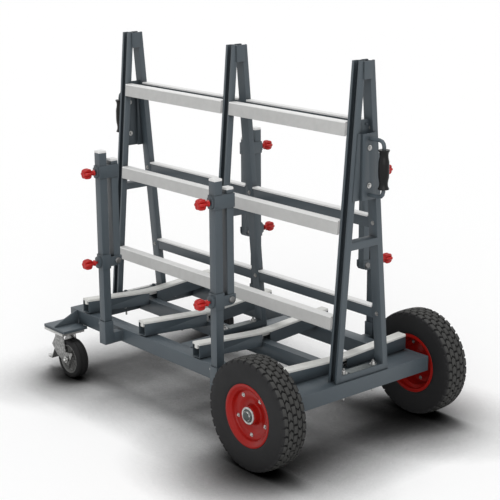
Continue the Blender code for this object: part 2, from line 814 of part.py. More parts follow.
def upper_collar(label, end, x, side, finish):
    """The double collar that holds the extension bar beside the post."""
    inner = BAR_Y - BAR_SIDE / 2 - RUN - COLLAR_WALL
    x_range = around(x, POST_SIDE + 2 * (RUN + COLLAR_WALL))
    y_range = sorted((side * inner, side * COLLAR_FACE_Y))
    z_range = (UPPER_COLLAR_BOTTOM, UPPER_COLLAR_BOTTOM + UPPER_COLLAR_HEIGHT)
    collar = box("upper_collar_" + label + "_" + end, x_range, y_range, z_range, finish)
    join(collar, clamp_boss(x, side, UPPER_KNOB_Z, UPPER_BOSS_DEPTH, finish))
    cut_z = (z_range[0] - OVERRUN, z_range[1] + OVERRUN)
    for place, width in ((POST_Y, POST_SIDE), (BAR_Y, BAR_SIDE)):
        hole = width + 2 * RUN
        cut(collar, box("hole", around(x, hole), around(side * place, hole), cut_z, finish))
    return set_origin(collar, (x, side * POST_Y, UPPER_COLLAR_BOTTOM))


def extension_bar(label, end, x, side, finish):
    """The bar inboard of the post, bolted between two cheeks of the lower collar."""
    name = "extension_bar_" + label + "_" + end
    bar_y = side * BAR_Y
    bar = capped_tube(name, x, bar_y, BAR_SIDE, (BAR_BOTTOM, BAR_TOP), finish)
    hole = POST_SIDE + 2 * RUN
    outer = hole + 2 * COLLAR_WALL
    collar_z = (LOWER_COLLAR_BOTTOM, LOWER_COLLAR_BOTTOM + LOWER_COLLAR_HEIGHT)
    collar = box("collar", around(x, outer), around(side * POST_Y, outer), collar_z, finish)
    join(collar, clamp_boss(x, side, LOWER_KNOB_Z, LOWER_BOSS_DEPTH, finish))
    cut_z = (collar_z[0] - OVERRUN, collar_z[1] + OVERRUN)
    cut(collar, box("hole", around(x, hole), around(side * POST_Y, hole), cut_z, finish))
    collar_inner = side * (POST_Y - outer / 2 + WELD)
    cheek_top = PIVOT_Z + CHEEK_RADIUS
    arc = circle_points((0, PIVOT_Z), CHEEK_RADIUS, 5, math.pi, math.pi / 2, whole=False)
    cheek_outline = [(collar_inner, cheek_top), (bar_y - side * CHEEK_RADIUS, cheek_top)]
    cheek_outline += [(bar_y + side * u, z) for u, z in arc]
    cheek_outline.append((collar_inner, PIVOT_Z - CHEEK_RADIUS))
    for face in (-1, 1):
        reach = (x + face * (BAR_SIDE / 2 - WELD), x + face * (BAR_SIDE / 2 + CHEEK_WALL))
        join(collar, extrude("cheek", cheek_outline, "X", reach, finish))
    join(bar, collar)
    for face in (-1, 1):
        start = BAR_SIDE / 2 + CHEEK_WALL - WELD
        finish_place = start + WELD + PIVOT_HEAD
        profile = [
            (0, face * start),
            (PIVOT_RADIUS, face * start),
            (PIVOT_RADIUS, face * (finish_place - CAP_CHAMFER)),
            (PIVOT_RADIUS - CAP_CHAMFER, face * finish_place),
            (0, face * finish_place),
        ]
        head = turn("pivot", profile, "X", PIVOT_SIDES, finish)
        join(bar, shift(head, (x, bar_y, PIVOT_Z)))
    return set_origin(bar, (x, side * POST_Y, LOWER_COLLAR_BOTTOM))


def star_knob(name, x, side, z, boss_depth, stud_length, finish):
    """A lobed knob whose neck tapers to the end of its stud, all on one axis."""
    start = COLLAR_FACE_Y + boss_depth + SEAT
    neck_start = start + stud_length
    neck_end = neck_start + KNOB_NECK_LENGTH
    sides = KNOB_LOBES * LOBE_STEPS
    edge_share = 0.75
    levels = [
        (KNOB_STUD_RADIUS, 0, start),
        (KNOB_NECK_RADIUS, 0, neck_start),
        (KNOB_RADIUS * edge_share, KNOB_LOBE_DEPTH, neck_end),
        (KNOB_RADIUS, KNOB_LOBE_DEPTH, neck_end + KNOB_THICKNESS / 4),
        (KNOB_RADIUS, KNOB_LOBE_DEPTH, neck_end + KNOB_THICKNESS * edge_share),
        (KNOB_RADIUS * edge_share, KNOB_LOBE_DEPTH / 2, neck_end + KNOB_THICKNESS),
    ]
    outlines = []
    for radius, lobe, place in levels:
        outline = []
        for i in range(sides):
            angle = math.pi * (2 * i + 1) / sides
            r = radius - lobe + lobe * math.cos(KNOB_LOBES * angle)
            outline.append(Vector((x + r * math.cos(angle), side * place, z + r * math.sin(angle))))
        outlines.append(outline)
    knob = loft(name, outlines, finish, smooth=True)
    return set_origin(knob, (x, side * start, z))


# Handles


def handle(label, x, out, finish):
    """A bent sheet panel across the legs with two holes and a welded U-shaped rod.

    Its raised middle has upright sides, and its wings are cut to the slope of the legs.
    """
    seat = LEG_WIDTH / 2 + SEAT
    face = LEG_WIDTH / 2 + PANEL_PROUD
    half = PANEL_HALF_FACE
    wall = PANEL_WALL
    outlines = []
    for z in (HANDLE_Z - PANEL_HALF_HEIGHT, HANDLE_Z + PANEL_HALF_HEIGHT):
        wing = half_width(z) - PANEL_EDGE_INSET
        front = [(seat, -wing), (seat + wall, -wing), (seat + wall, -half), (face, -half)]
        front += [(face, half), (seat + wall, half), (seat + wall, wing), (seat, wing)]
        back = [(seat, half - wall), (face - wall, half - wall), (face - wall, wall - half)]
        back.append((seat, wall - half))
        outlines.append([Vector((x + out * u, v, z)) for u, v in front + back])
    panel = loft("handle_" + label, outlines, finish)
    for level in (-1, 1):
        centre = (0, HANDLE_Z + level * PANEL_HOLE_OFFSET)
        reach = (x + out * (face - wall - OVERRUN), x + out * (face + OVERRUN))
        ring = circle_points(centre, PANEL_HOLE_RADIUS, SMALL_SIDES)
        cut(panel, extrude("hole", ring, "X", reach, finish))
    join(panel, handle_rod(x, out, face, finish))
    return set_origin(panel, (x, 0, HANDLE_Z))


def handle_rod(x, out, face, finish):
    """The round rod: out from the panel, down through the grip, and back to the panel."""
    grip_x = face + GRIP_STANDOFF
    path = [(face - WELD, ROD_HALF_SPAN)]
    centre = (grip_x - ROD_BEND, ROD_HALF_SPAN - ROD_BEND)
    arc = circle_points(centre, ROD_BEND, BEND_STEPS + 1, math.pi / 2, -math.pi / 2, whole=False)
    path += arc
    path += [(u, -v) for u, v in reversed(path)]
    outlines = []
    for i, (u, v) in enumerate(path):
        before = path[max(i - 1, 0)]
        after = path[min(i + 1, len(path) - 1)]
        along = Vector((after[0] - before[0], after[1] - before[1])).normalized()
        outline = []
        for k in range(ROD_SIDES):
            angle = 2 * math.pi * k / ROD_SIDES
            swing = ROD_RADIUS * math.cos(angle)
            place = (u - along.y * swing, ROD_RADIUS * math.sin(angle), v + along.x * swing)
            outline.append(Vector((x + out * place[0], place[1], HANDLE_Z + place[2])))
        outlines.append(outline)
    return loft("rod", outlines, finish, smooth=True)


def grip(label, x, out, finish):
    """The moulded grip on the upright of the rod, waisted and flared at both ends."""
    bore = ROD_RADIUS + RUN
    half = GRIP_HALF_LENGTH
    shape = [
        (GRIP_END_RADIUS, half),
        (GRIP_END_RADIUS, half - GRIP_LIP),
        (GRIP_WAIST_RADIUS, half - GRIP_WAIST_INSET / 2),
        (GRIP_WAIST_RADIUS, half - GRIP_WAIST_INSET),
        (GRIP_RADIUS, half / 5),
    ]
    outer = shape + [(radius, -place) for radius, place in reversed(shape)]
    profile = [(bore, half)] + outer + [(bore, -half)]
    sleeve = turn("grip_" + label, profile, "Z", GRIP_SIDES, finish, closed=True)
    sleeve.location = (x + out * (LEG_WIDTH / 2 + PANEL_PROUD + GRIP_STANDOFF), 0, HANDLE_Z)
    return sleeve


# Wheels and casters


def tyre(label, side, finish):
    """A block-tread tyre: three rows of lugs, the middle row set on between the outer ones."""
    half = TYRE_WIDTH / 2
    tread = half - TREAD_INSET
    middle = CENTRE_LUG_WIDTH / 2
    bead = BEAD_WIDTH / 2
    step = RUN
    sides = LUG_PITCHES * TYRE_RING_STEPS
    bulge_share = 0.65
    side_height = WHEEL_RADIUS - BEAD_RADIUS
    bulge = BEAD_RADIUS + side_height * bulge_share
    foot = BEAD_RADIUS + RIM_FLANGE_HEIGHT + SHOULDER_DROP
    edge = WHEEL_RADIUS - SHOULDER_DROP
    section = [
        (BEAD_RADIUS, bead, None),
        (foot, bead, None),
        (bulge, half, None),
        (edge, tread, 0),
        (WHEEL_RADIUS, middle + step, 0),
        (WHEEL_RADIUS, middle, 1),
    ]
    section += [(r, -y, row) for r, y, row in reversed(section)]
    vertices = []
    for i in range(sides):
        slot = i % TYRE_RING_STEPS
        angle = -math.pi / 2 + 2 * math.pi * i / sides
        for radius, place, row in section:
            lug_step = (slot + LUG_STAGGER * (row or 0)) % TYRE_RING_STEPS
            lug_is_low = row is not None and lug_step == TYRE_RING_STEPS - 1
            r = radius - LUG_DEPTH if lug_is_low else radius
            vertices.append((r * math.cos(angle), place, r * math.sin(angle)))
    count = len(section)
    faces = []
    for i in range(sides):
        j = (i + 1) % sides
        for k in range(count):
            m = (k + 1) % count
            faces.append((i * count + k, i * count + m, j * count + m, j * count + k))
    ring = make_object("tyre_" + label, vertices, faces, finish)
    ring.location = (AXLE_X, side * WHEEL_Y, WHEEL_RADIUS)
    return ring


def rim(label, side, finish):
    """A steel rim: flanged barrel with a well, a dished disc and a bored hub."""
    seat = BEAD_RADIUS - SEAT
    inner = seat - RIM_WALL
    bead = BEAD_WIDTH / 2 + SEAT
    edge = bead + RIM_WALL
    flange = BEAD_RADIUS + RIM_FLANGE_HEIGHT
    well = RIM_WELL_WIDTH / 2
    ramp = RIM_WELL_DEPTH
    hub = HUB_WIDTH / 2
    bore = AXLE_RADIUS + SEAT
    well_out = seat - RIM_WELL_DEPTH
    well_in = well_out - RIM_WALL
    disc_out = DISC_DISH + DISC_WALL
    profile = [
        (flange, -edge),
        (flange, -bead),
        (seat, -bead),
        (seat, -well - ramp),
        (well_out, -well),
        (well_out, well),
        (seat, well + ramp),
        (seat, bead),
        (flange, bead),
        (flange, edge),
        (inner, edge),
        (inner, well + ramp),
        (well_in, disc_out),
        (HUB_RADIUS + DISC_DISH, disc_out),
        (HUB_RADIUS, hub),
        (bore, hub),
        (bore, -hub),
        (HUB_RADIUS, -hub),
        (HUB_RADIUS, disc_out - DISC_WALL),
        (well_in, disc_out - DISC_WALL),
        (well_in, -well),
        (inner, -well - ramp),
        (inner, -edge),
    ]
    profile = [(radius, side * place) for radius, place in profile]
    wheel = turn("rim_" + label, profile, "Y", RIM_SIDES, finish, closed=True)
    wheel.location = (AXLE_X, side * WHEEL_Y, WHEEL_RADIUS)
    return wheel


def pedal_pivot():
    """Where the brake pedal's pin lies, from the floor point under the swivel axis."""
    return CASTER_RADIUS * PEDAL_PIVOT_SHARES[0], 0, CASTER_RADIUS * PEDAL_PIVOT_SHARES[1]


def caster_fork(label, side, finish):
    """The swivelling fork: crown, bridge, two legs and the wheel's axle bolt."""
    top = FORK_TOP
    crown_profile = [(0, top), (CROWN_RADIUS, top), (CROWN_RADIUS, top - CROWN_HEIGHT)]
    crown_profile.append((0, top - CROWN_HEIGHT))
    fork = turn("caster_fork_" + label, crown_profile, "Z", CASTER_SIDES, finish)
    leg_inner = CASTER_HUB_WIDTH / 2 + RUN
    leg_outer = leg_inner + FORK_WALL
    bridge_top = top - CROWN_HEIGHT + WELD
    bridge_z = (bridge_top - FORK_BRIDGE_WALL, bridge_top)
    bridge_x = (-FORK_TOP_LEAD, FORK_TOP_LEAD)
    bridge = box("bridge", bridge_x, (-leg_outer, leg_outer), bridge_z, finish)
    join(fork, bridge)
    leg_outline = [(-FORK_TOP_LEAD, bridge_top), (FORK_TOP_LEAD, bridge_top)]
    leg_outline += [(u * CASTER_RADIUS, v * CASTER_RADIUS) for u, v in FORK_OUTLINE_SHARES]
    for face in (-1, 1):
        join(fork, extrude("leg", leg_outline, "Y", (face * leg_inner, face * leg_outer), finish))
    bolt_end = leg_outer + FORK_WALL
    bolt_profile = [(0, -bolt_end), (CASTER_BOLT_RADIUS, -bolt_end), (CASTER_BOLT_RADIUS, bolt_end)]
    bolt_profile.append((0, bolt_end))
    bolt = turn("bolt", bolt_profile, "Y", PIVOT_SIDES, finish)
    join(fork, shift(bolt, (CASTER_TRAIL, 0, CASTER_RADIUS)))
    pin_profile = [(0, -leg_inner - WELD), (PEDAL_PIN_RADIUS, -leg_inner - WELD)]
    pin_profile += [(PEDAL_PIN_RADIUS, leg_inner + WELD), (0, leg_inner + WELD)]
    pin = turn("pin", pin_profile, "Y", ROD_SIDES, finish)
    join(fork, shift(pin, pedal_pivot()))
    fork.location = (CASTER_X, side * CASTER_Y, 0)
    return fork


def caster_wheel(label, finish):
    """A rubber-tyred caster wheel with a dished core and a bored hub."""
    half = CASTER_WIDTH / 2
    hub = CASTER_HUB_WIDTH / 2
    bore = CASTER_BOLT_RADIUS + SEAT
    crown = CASTER_RADIUS
    core = CASTER_RADIUS - CASTER_TREAD
    shoulder = CASTER_RADIUS - SHOULDER_DROP
    dish = half - CASTER_DISH
    shape = [
        (crown, half / 3),
        (shoulder, half - SHOULDER_DROP / 2),
        (core + SHOULDER_DROP, half),
        (core - SHOULDER_DROP, dish),
        (CASTER_HUB_RADIUS + SHOULDER_DROP, dish),
        (CASTER_HUB_RADIUS, hub),
        (bore, hub),
    ]
    profile = shape + [(radius, -place) for radius, place in reversed(shape)]
    start = -math.pi / 2
    wheel = turn("caster_wheel_" + label, profile, "Y", CASTER_SIDES, finish, closed=True, phase=start)
    wheel.location = (CASTER_TRAIL, 0, CASTER_RADIUS)
    return wheel


def brake_pedal(label, finish):
    """A bent brake lever with an eye round the fork's pin and a tread at its end."""
    half = CASTER_HUB_WIDTH / 2 - RUN
    bore = PEDAL_PIN_RADIUS + SEAT
    eye_radius = bore + PEDAL_WALL
    knee = (-PEDAL_REACH + PEDAL_TREAD, -PEDAL_DROP)
    slant = Vector(knee).normalized()
    normal = Vector((-slant.y, slant.x)) * PEDAL_WALL / 2
    tread_low = -PEDAL_DROP - PEDAL_WALL / 2
    tread_high = -PEDAL_DROP + PEDAL_WALL / 2
    start = slant * (bore + PEDAL_WALL / 2)
    outline = [
        (start.x + normal.x, start.y + normal.y),
        (start.x - normal.x, start.y - normal.y),
        (knee[0] - normal.x, tread_high),
        (-PEDAL_REACH, tread_high),
        (-PEDAL_REACH, tread_low),
        (knee[0] + normal.x, tread_low),
    ]
    pedal = extrude("brake_pedal_" + label, outline, "Y", (-half, half), finish)
    eye_profile = [(eye_radius, -half), (eye_radius, half), (bore, half), (bore, -half)]
    join(pedal, turn("eye", eye_profile, "Y", ROD_SIDES, finish, closed=True))
    pedal.location = pedal_pivot()
    return pedal


# Assembly


def build_base(steel):
    centre_spine(steel)
    front_cross_beam(steel)
    rear_beam(steel)
    for label, side in SIDES.items():
        side_beam(label, side, steel)
        axle_carrier(label, side, steel)


def build_rack(steel, facing):
    for label, x in FRAMES.items():
        a_frame(label, x, steel)
    clear = LEG_WIDTH / 2 + SEAT
    bays = {"front": (-FRAME_PITCH + clear, -clear), "rear": (clear, FRAME_PITCH - clear)}
    for label, side in SIDES.items():
        for level, top in RAIL_TOPS.items():
            for bay, x_range in bays.items():
                rail("_".join(("rail", label, level, bay)), x_range, side, top, facing)
    supports = [(share * FRAME_PITCH, SUPPORT_SLOPE) for share in SUPPORT_PLACE_SHARES]
    supports.append((REAR_SUPPORT_X, REAR_SUPPORT_SLOPE))
    for number, (x, slope) in enumerate(supports, start=1):
        slab_support("slab_support_" + str(number), x, slope, facing)


def build_stakes(steel, red):
    for label, side in SIDES.items():
        for end, x in POSTS.items():
            post(label, end, x, side, steel)
            collar = upper_collar(label, end, x, side, steel)
            bar = extension_bar(label, end, x, side, steel)
            upper = ("upper", UPPER_KNOB_Z, UPPER_BOSS_DEPTH, UPPER_STUD_LENGTH, collar)
            lower = ("lower", LOWER_KNOB_Z, LOWER_BOSS_DEPTH, LOWER_STUD_LENGTH, bar)
            for level, z, boss_depth, stud_length, carrier in (upper, lower):
                name = "_".join((level, "knob", label, end))
                knob = star_knob(name, x, side, z, boss_depth, stud_length, red)
                place = knob.location.copy()
                knob.parent = carrier
                knob.location = place - carrier.location


def build_handles(steel, rubber):
    for label, out in (("front", -1), ("rear", 1)):
        handle(label, FRAMES[label], out, steel)
        grip(label, FRAMES[label], out, rubber)


def build_wheels(rubber, red, zinc):
    for label, side in SIDES.items():
        tyre(label, side, rubber)
        rim(label, side, red)
        fork = caster_fork(label, side, zinc)
        caster_wheel(label, rubber).parent = fork
        brake_pedal(label, zinc).parent = fork


def build():
    for leftover in list(bpy.data.objects):
        bpy.data.objects.remove(leftover, do_unlink=True)
    steel = paint("anthracite_paint", (0.075, 0.095, 0.112), 0.45, 0.2)
    facing = paint("grey_plastic", (0.52, 0.52, 0.48), 0.55, 0)
    red = paint("red", (0.55, 0.02, 0.02), 0.4, 0)
    rubber = paint("black_rubber", (0.02, 0.02, 0.02), 0.8, 0)
    zinc = paint("zinc", (0.55, 0.56, 0.56), 0.35, 0.9)
    build_base(steel)
    build_rack(steel, facing)
    build_stakes(steel, red)
    build_handles(steel, rubber)
    build_wheels(rubber, red, zinc)


build()
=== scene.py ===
"""Looks of the slab buggy: paint, rubber, plastic and zinc, fine forms, light and camera."""

import math

import bmesh
import bpy
from mathutils import Matrix, Vector


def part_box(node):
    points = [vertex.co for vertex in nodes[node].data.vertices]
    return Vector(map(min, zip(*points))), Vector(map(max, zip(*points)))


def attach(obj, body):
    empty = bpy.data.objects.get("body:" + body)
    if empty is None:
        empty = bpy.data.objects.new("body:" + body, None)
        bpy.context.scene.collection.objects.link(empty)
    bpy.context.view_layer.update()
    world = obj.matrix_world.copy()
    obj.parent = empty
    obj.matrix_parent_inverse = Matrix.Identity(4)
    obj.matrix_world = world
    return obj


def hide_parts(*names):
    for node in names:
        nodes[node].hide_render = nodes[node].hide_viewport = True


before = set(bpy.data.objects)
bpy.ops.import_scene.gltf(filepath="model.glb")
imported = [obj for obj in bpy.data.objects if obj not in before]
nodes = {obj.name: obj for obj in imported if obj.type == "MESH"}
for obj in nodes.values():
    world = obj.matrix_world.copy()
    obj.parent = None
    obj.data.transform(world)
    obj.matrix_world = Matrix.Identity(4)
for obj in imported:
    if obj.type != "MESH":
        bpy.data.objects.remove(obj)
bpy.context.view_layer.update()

# Places and sizes of the CAD that the looks follow, in metres. X runs from the front, where the
# casters are, to the rear, and places given once for Y are those of the right side.

SIDES = {"left": -1, "right": 1}
ENDS = {"front": -1, "rear": 1}
FRAMES = {"front": -0.661, "middle": 0.0, "rear": 0.661}
FRAME_TOP = 1.3756
FRAME_FOOT = 0.2623
TOP_HALF_WIDTH = 0.0338
FOOT_HALF_WIDTH = 0.1287
LEAN = (FOOT_HALF_WIDTH - TOP_HALF_WIDTH) / (FRAME_TOP - FRAME_FOOT)
LEG_DEPTH = 0.024
FOOT_BAR_TOP = 0.2858
FOOT_BOLT_Y = 0.073
FACING_DEPTH = 0.0045
SUPPORTS = (-0.583, -0.195, 0.144, 0.5635)
SUPPORT_SLOPES = (0.075, 0.075, 0.075, 0.052)
SUPPORT_BEND_Y = 0.265
CHANNEL_HEIGHT = 0.0483
STRIP_ROOT_HALF_WIDTH = 0.0083
STRIP_ROOT_DEPTH = 0.0150
POSTS = {"front": -0.347, "rear": 0.347}
POST_CAP_Z = 0.970
BAR_CAP_Z = 0.934
BAR_PIVOT_Y, BAR_PIVOT_Z = 0.335, 0.542
PIVOT_HEAD_RADIUS = 0.0124
PIVOT_HEAD_OUT = 0.0191
KNOB_Z = {"upper": 0.8965, "lower": 0.544}
KNOB_SEAT_Y = {"upper": 0.4148, "lower": 0.4198}
KNOB_STUD = {"upper": 0.0038, "lower": 0.0098}
WHEEL_RADIUS = 0.200
AXLE = Vector((0.579, 0.404, WHEEL_RADIUS))
AXLE_BARE_Y = 0.3380
BEARING_RADIUS = 0.0240
CASTER = Vector((-0.655, 0.385, 0.0))
CASTER_WHEEL_RADIUS = 0.080
CASTER_PLATE_TOP = 0.1966
TRAIL = 0.0545
GRIP_HALF_LENGTH = 0.0675
UP, DOWN = (0, 0, 1), (0, 0, -1)


def half_width(z):
    """Distance from the middle plane to the outer face of an A-frame leg at height z."""
    return TOP_HALF_WIDTH + LEAN * (FRAME_TOP - z)


# Materials

PAINT = (0.0490, 0.0650, 0.0780)
PAINT_WORN = (0.0690, 0.0870, 0.1000)
FACING = (0.535, 0.535, 0.525)
STRIP = (0.74, 0.74, 0.71)
CAP = (0.80, 0.80, 0.79)
ZINC = (0.42, 0.42, 0.41)
ZINC_DARK = (0.17, 0.17, 0.17)
AXLE_STEEL = (0.60, 0.60, 0.59)
BEARING_FACE = (0.075, 0.085, 0.082)
PIVOT_STEEL = (0.20, 0.20, 0.20)
RUBBER = (0.0115, 0.0115, 0.0120)
TREAD_DUST = (0.052, 0.052, 0.050)
TREAD_DUST_RADIUS = 0.1958
CASTER_RUBBER = (0.0070, 0.0070, 0.0073)
RED = (0.50, 0.013, 0.011)
RED_PAINT = (0.345, 0.009, 0.006)
GRIP_BLACK = (0.0045, 0.0045, 0.0047)
CORE_GREY = (0.13, 0.13, 0.127)
DULL_GLOSS = 0.22
METAL = 0.8


def shaded(color, share):
    return tuple(share * c for c in color)


class Nodes:
    """A small builder for one material's node tree."""

    def __init__(self, name):
        self.material = bpy.data.materials.new(name)
        self.material.use_nodes = True
        self.tree = self.material.node_tree
        self.shader = self.tree.nodes["Principled BSDF"]
        coordinates = self.tree.nodes.new("ShaderNodeTexCoord")
        self.place = coordinates.outputs["Object"]
        split = self.tree.nodes.new("ShaderNodeSeparateXYZ")
        self.link(self.place, split.inputs[0])
        self.x, self.y, self.z = split.outputs

    def link(self, source, target):
        self.tree.links.new(source, target)

    def put(self, socket, value):
        if isinstance(value, (int, float)):
            socket.default_value = value
        elif isinstance(value, tuple):
            socket.default_value = (*value, 1)
        else:
            self.link(value, socket)

    def math(self, operation, a, b=0.0):
        node = self.tree.nodes.new("ShaderNodeMath")
        node.operation = operation
        self.put(node.inputs[0], a)
        self.put(node.inputs[1], b)
        return node.outputs[0]

    def mix(self, factor, a, b):
        """A colour that goes from a to b as the factor goes from 0 to 1."""
        node = self.tree.nodes.new("ShaderNodeMix")
        node.data_type = "RGBA"
        self.put(node.inputs["Factor"], factor)
        self.put(node.inputs[6], a)
        self.put(node.inputs[7], b)
        return node.outputs[2]

    def pick(self, factor, a, b):
        """One number or another, plain or from the tree, by a factor of 0 or 1."""
        node = self.tree.nodes.new("ShaderNodeMix")
        self.put(node.inputs["Factor"], factor)
        self.put(node.inputs[2], a)
        self.put(node.inputs[3], b)
        return node.outputs[0]

    def blend(self, factor, low, high):
        """A number that goes from low to high as the factor goes from 0 to 1."""
        node = self.tree.nodes.new("ShaderNodeMapRange")
        self.put(node.inputs["Value"], factor)
        node.inputs["To Min"].default_value = low
        node.inputs["To Max"].default_value = high
        return node.outputs[0]

    def noise(self, scale, detail=3.0, stretch=(1, 1, 1)):
        mapping = self.tree.nodes.new("ShaderNodeMapping")
        mapping.inputs["Scale"].default_value = stretch
        self.link(self.place, mapping.inputs["Vector"])
        node = self.tree.nodes.new("ShaderNodeTexNoise")
        node.inputs["Scale"].default_value = scale
        node.inputs["Detail"].default_value = detail
        self.link(mapping.outputs[0], node.inputs["Vector"])
        return node.outputs[0]

    def openness(self, distance, samples, power, normal=None):
        """1 where nothing is near, and down to 0 in corners and under things."""
        node = self.tree.nodes.new("ShaderNodeAmbientOcclusion")
        node.samples = samples
        node.inputs["Distance"].default_value = distance
        if normal is not None:
            self.link(normal, node.inputs["Normal"])
        return self.math("POWER", node.outputs["AO"], power)

    def square_from(self, a, a_middle, b, b_middle):
        """The square of the distance from a middle, in the plane of two coordinates."""
        a = self.math("SUBTRACT", a, a_middle)
        b = self.math("SUBTRACT", b, b_middle)
        return self.math("ADD", self.math("MULTIPLY", a, a), self.math("MULTIPLY", b, b))

    def bump(self, height, distance, strength):
        node = self.tree.nodes.new("ShaderNodeBump")
        node.inputs["Strength"].default_value = strength
        node.inputs["Distance"].default_value = distance
        self.link(height, node.inputs["Height"])
        return node.outputs[0]

    def above(self, value, level):
        return self.math("GREATER_THAN", value, level)

    def below(self, value, level):
        return self.math("LESS_THAN", value, level)

    def finish(self, color, roughness, metallic=0.0, normal=None):
        self.put(self.shader.inputs["Base Color"], color)
        self.put(self.shader.inputs["Roughness"], roughness)
        self.put(self.shader.inputs["Metallic"], metallic)
        if normal is not None:
            self.link(normal, self.shader.inputs["Normal"])
        return self.material


def paint_color(m):
    """Powder coat: slow changes of tone, painted shade in the corners and a fine pebbled surface.
    """
    color = m.mix(m.noise(scale=5.0), PAINT, PAINT_WORN)
    # Painted shade: the paint darkens down to 0.22 of its colour in corners and gaps where other
    # parts come within 3 cm.
    painted_corner_shade = m.openness(distance=0.030, samples=4, power=1.5)
    color = m.mix(painted_corner_shade, shaded(PAINT, 0.22), color)
    normal = m.bump(m.noise(scale=900.0, detail=2.0), distance=0.0002, strength=0.25)
    roughness = m.blend(m.noise(scale=14.0), low=0.38, high=0.52)
    return color, roughness, normal


def powder_coat(name):
    m = Nodes(name)
    color, roughness, normal = paint_color(m)
    return m.finish(color, roughness, 0.0, normal)


def layered(name, *layers):
    """Powder coat, and over it a finish of its own wherever a layer's mask is 1."""
    m = Nodes(name)
    color, roughness, normal = paint_color(m)
    metallic = 0.0
    for mask_of, tint, rough, metal in layers:
        mask = mask_of(m)
        other = m.mix(m.noise(scale=40.0, detail=4.0), tint, shaded(tint, 0.82))
        color = m.mix(mask, color, other)
        roughness = m.pick(mask, roughness, rough)
        if metal:
            metallic = m.pick(mask, metallic, metal)
    return m.finish(color, roughness, metallic, normal)


def rail_mask(m):
    """1 on the plastic facing, the outer part of a leaning rail."""
    out = m.math("ADD", m.math("ABSOLUTE", m.y), m.math("MULTIPLY", m.z, LEAN))
    return m.above(out, half_width(0) - FACING_DEPTH)


def support_mask(x, slope):
    """1 on the plastic strip and its root, 0 on the channels."""

    def mask(m):
        level = FRAME_FOOT - slope * SUPPORT_BEND_Y + CHANNEL_HEIGHT
        rise = m.math("MULTIPLY", m.math("ABSOLUTE", m.y), slope)
        height = m.math("SUBTRACT", m.z, rise)
        across = m.math("ABSOLUTE", m.math("SUBTRACT", m.x, x))
        near = m.below(across, STRIP_ROOT_HALF_WIDTH)
        root = m.math("MULTIPLY", near, m.above(height, level - STRIP_ROOT_DEPTH))
        return m.math("MAXIMUM", m.above(height, level), root)

    return mask


def cap_mask(level):
    return lambda m: m.above(m.z, level)


def axle_mask(m):
    return m.above(m.math("ABSOLUTE", m.y), AXLE_BARE_Y)


def bearing_mask(m):
    """1 on the dark face of the bearing, a ring round the axle nut."""
    square = m.square_from(m.x, AXLE.x, m.z, AXLE.z)
    return m.math("MULTIPLY", m.below(square, BEARING_RADIUS**2), axle_mask(m))


def plate_mask(m):
    return m.below(m.z, CASTER_PLATE_TOP)


def pivot_mask(x, y):
    """1 on the heads of the pivot bolt of an extension bar."""

    def mask(m):
        square = m.square_from(m.y, y, m.z, BAR_PIVOT_Z)
        out = m.above(m.math("ABSOLUTE", m.math("SUBTRACT", m.x, x)), PIVOT_HEAD_OUT)
        return m.math("MULTIPLY", m.below(square, PIVOT_HEAD_RADIUS**2), out)

    return mask


def zinc(name, light=ZINC, dark=ZINC_DARK):
    """Zinc plate: cloudy, with fine streaks and small dull spots."""
    m = Nodes(name)
    cloud = m.blend(m.noise(scale=110.0, detail=6.0), low=-0.6, high=1.6)
    color = m.mix(cloud, light, dark)
    roughness = m.blend(m.noise(scale=90.0), low=0.18, high=0.50)
    normal = m.bump(m.noise(scale=260.0, stretch=(1, 1, 4)), distance=0.0006, strength=0.35)
    return m.finish(color, roughness, METAL, normal)


def rubber(name, color=RUBBER, worn=None, worn_radius=0.0):
    """Rubber; where a radius is given, the outer surfaces are worn to a dustier grey."""
    m = Nodes(name)
    dust = m.mix(m.noise(scale=9.0, detail=5.0), color, shaded(color, 1.7))
    if worn:
        top = m.above(m.square_from(m.x, 0.0, m.z, 0.0), worn_radius**2)
        patchy = m.mix(m.noise(scale=60.0, detail=4.0), worn, shaded(worn, 0.65))
        dust = m.mix(top, dust, patchy)
    normal = m.bump(m.noise(scale=700.0), distance=0.0003, strength=0.3)
    roughness = m.blend(m.noise(scale=20.0), low=0.55, high=0.80)
    m.shader.inputs["Specular IOR Level"].default_value = DULL_GLOSS
    return m.finish(dust, roughness, 0.0, normal)


def plastic(name, color, rough=(0.25, 0.4), shade=0.80, gloss=0.5):
    m = Nodes(name)
    m.shader.inputs["Specular IOR Level"].default_value = gloss
    tint = m.mix(m.noise(scale=25.0), color, shaded(color, shade))
    normal = m.bump(m.noise(scale=600.0, detail=2.0), distance=0.0002, strength=0.15)
    roughness = m.blend(m.noise(scale=30.0), *rough)
    return m.finish(tint, roughness, 0.0, normal)


def gloss_paint(name, color):
    m = Nodes(name)
    tint = m.mix(m.noise(scale=12.0), color, shaded(color, 0.70))
    normal = m.bump(m.noise(scale=120.0, detail=2.0), distance=0.0003, strength=0.15)
    roughness = m.blend(m.noise(scale=18.0), low=0.24, high=0.40)
    m.shader.inputs["Specular IOR Level"].default_value = DULL_GLOSS
    return m.finish(tint, roughness, 0.0, normal)


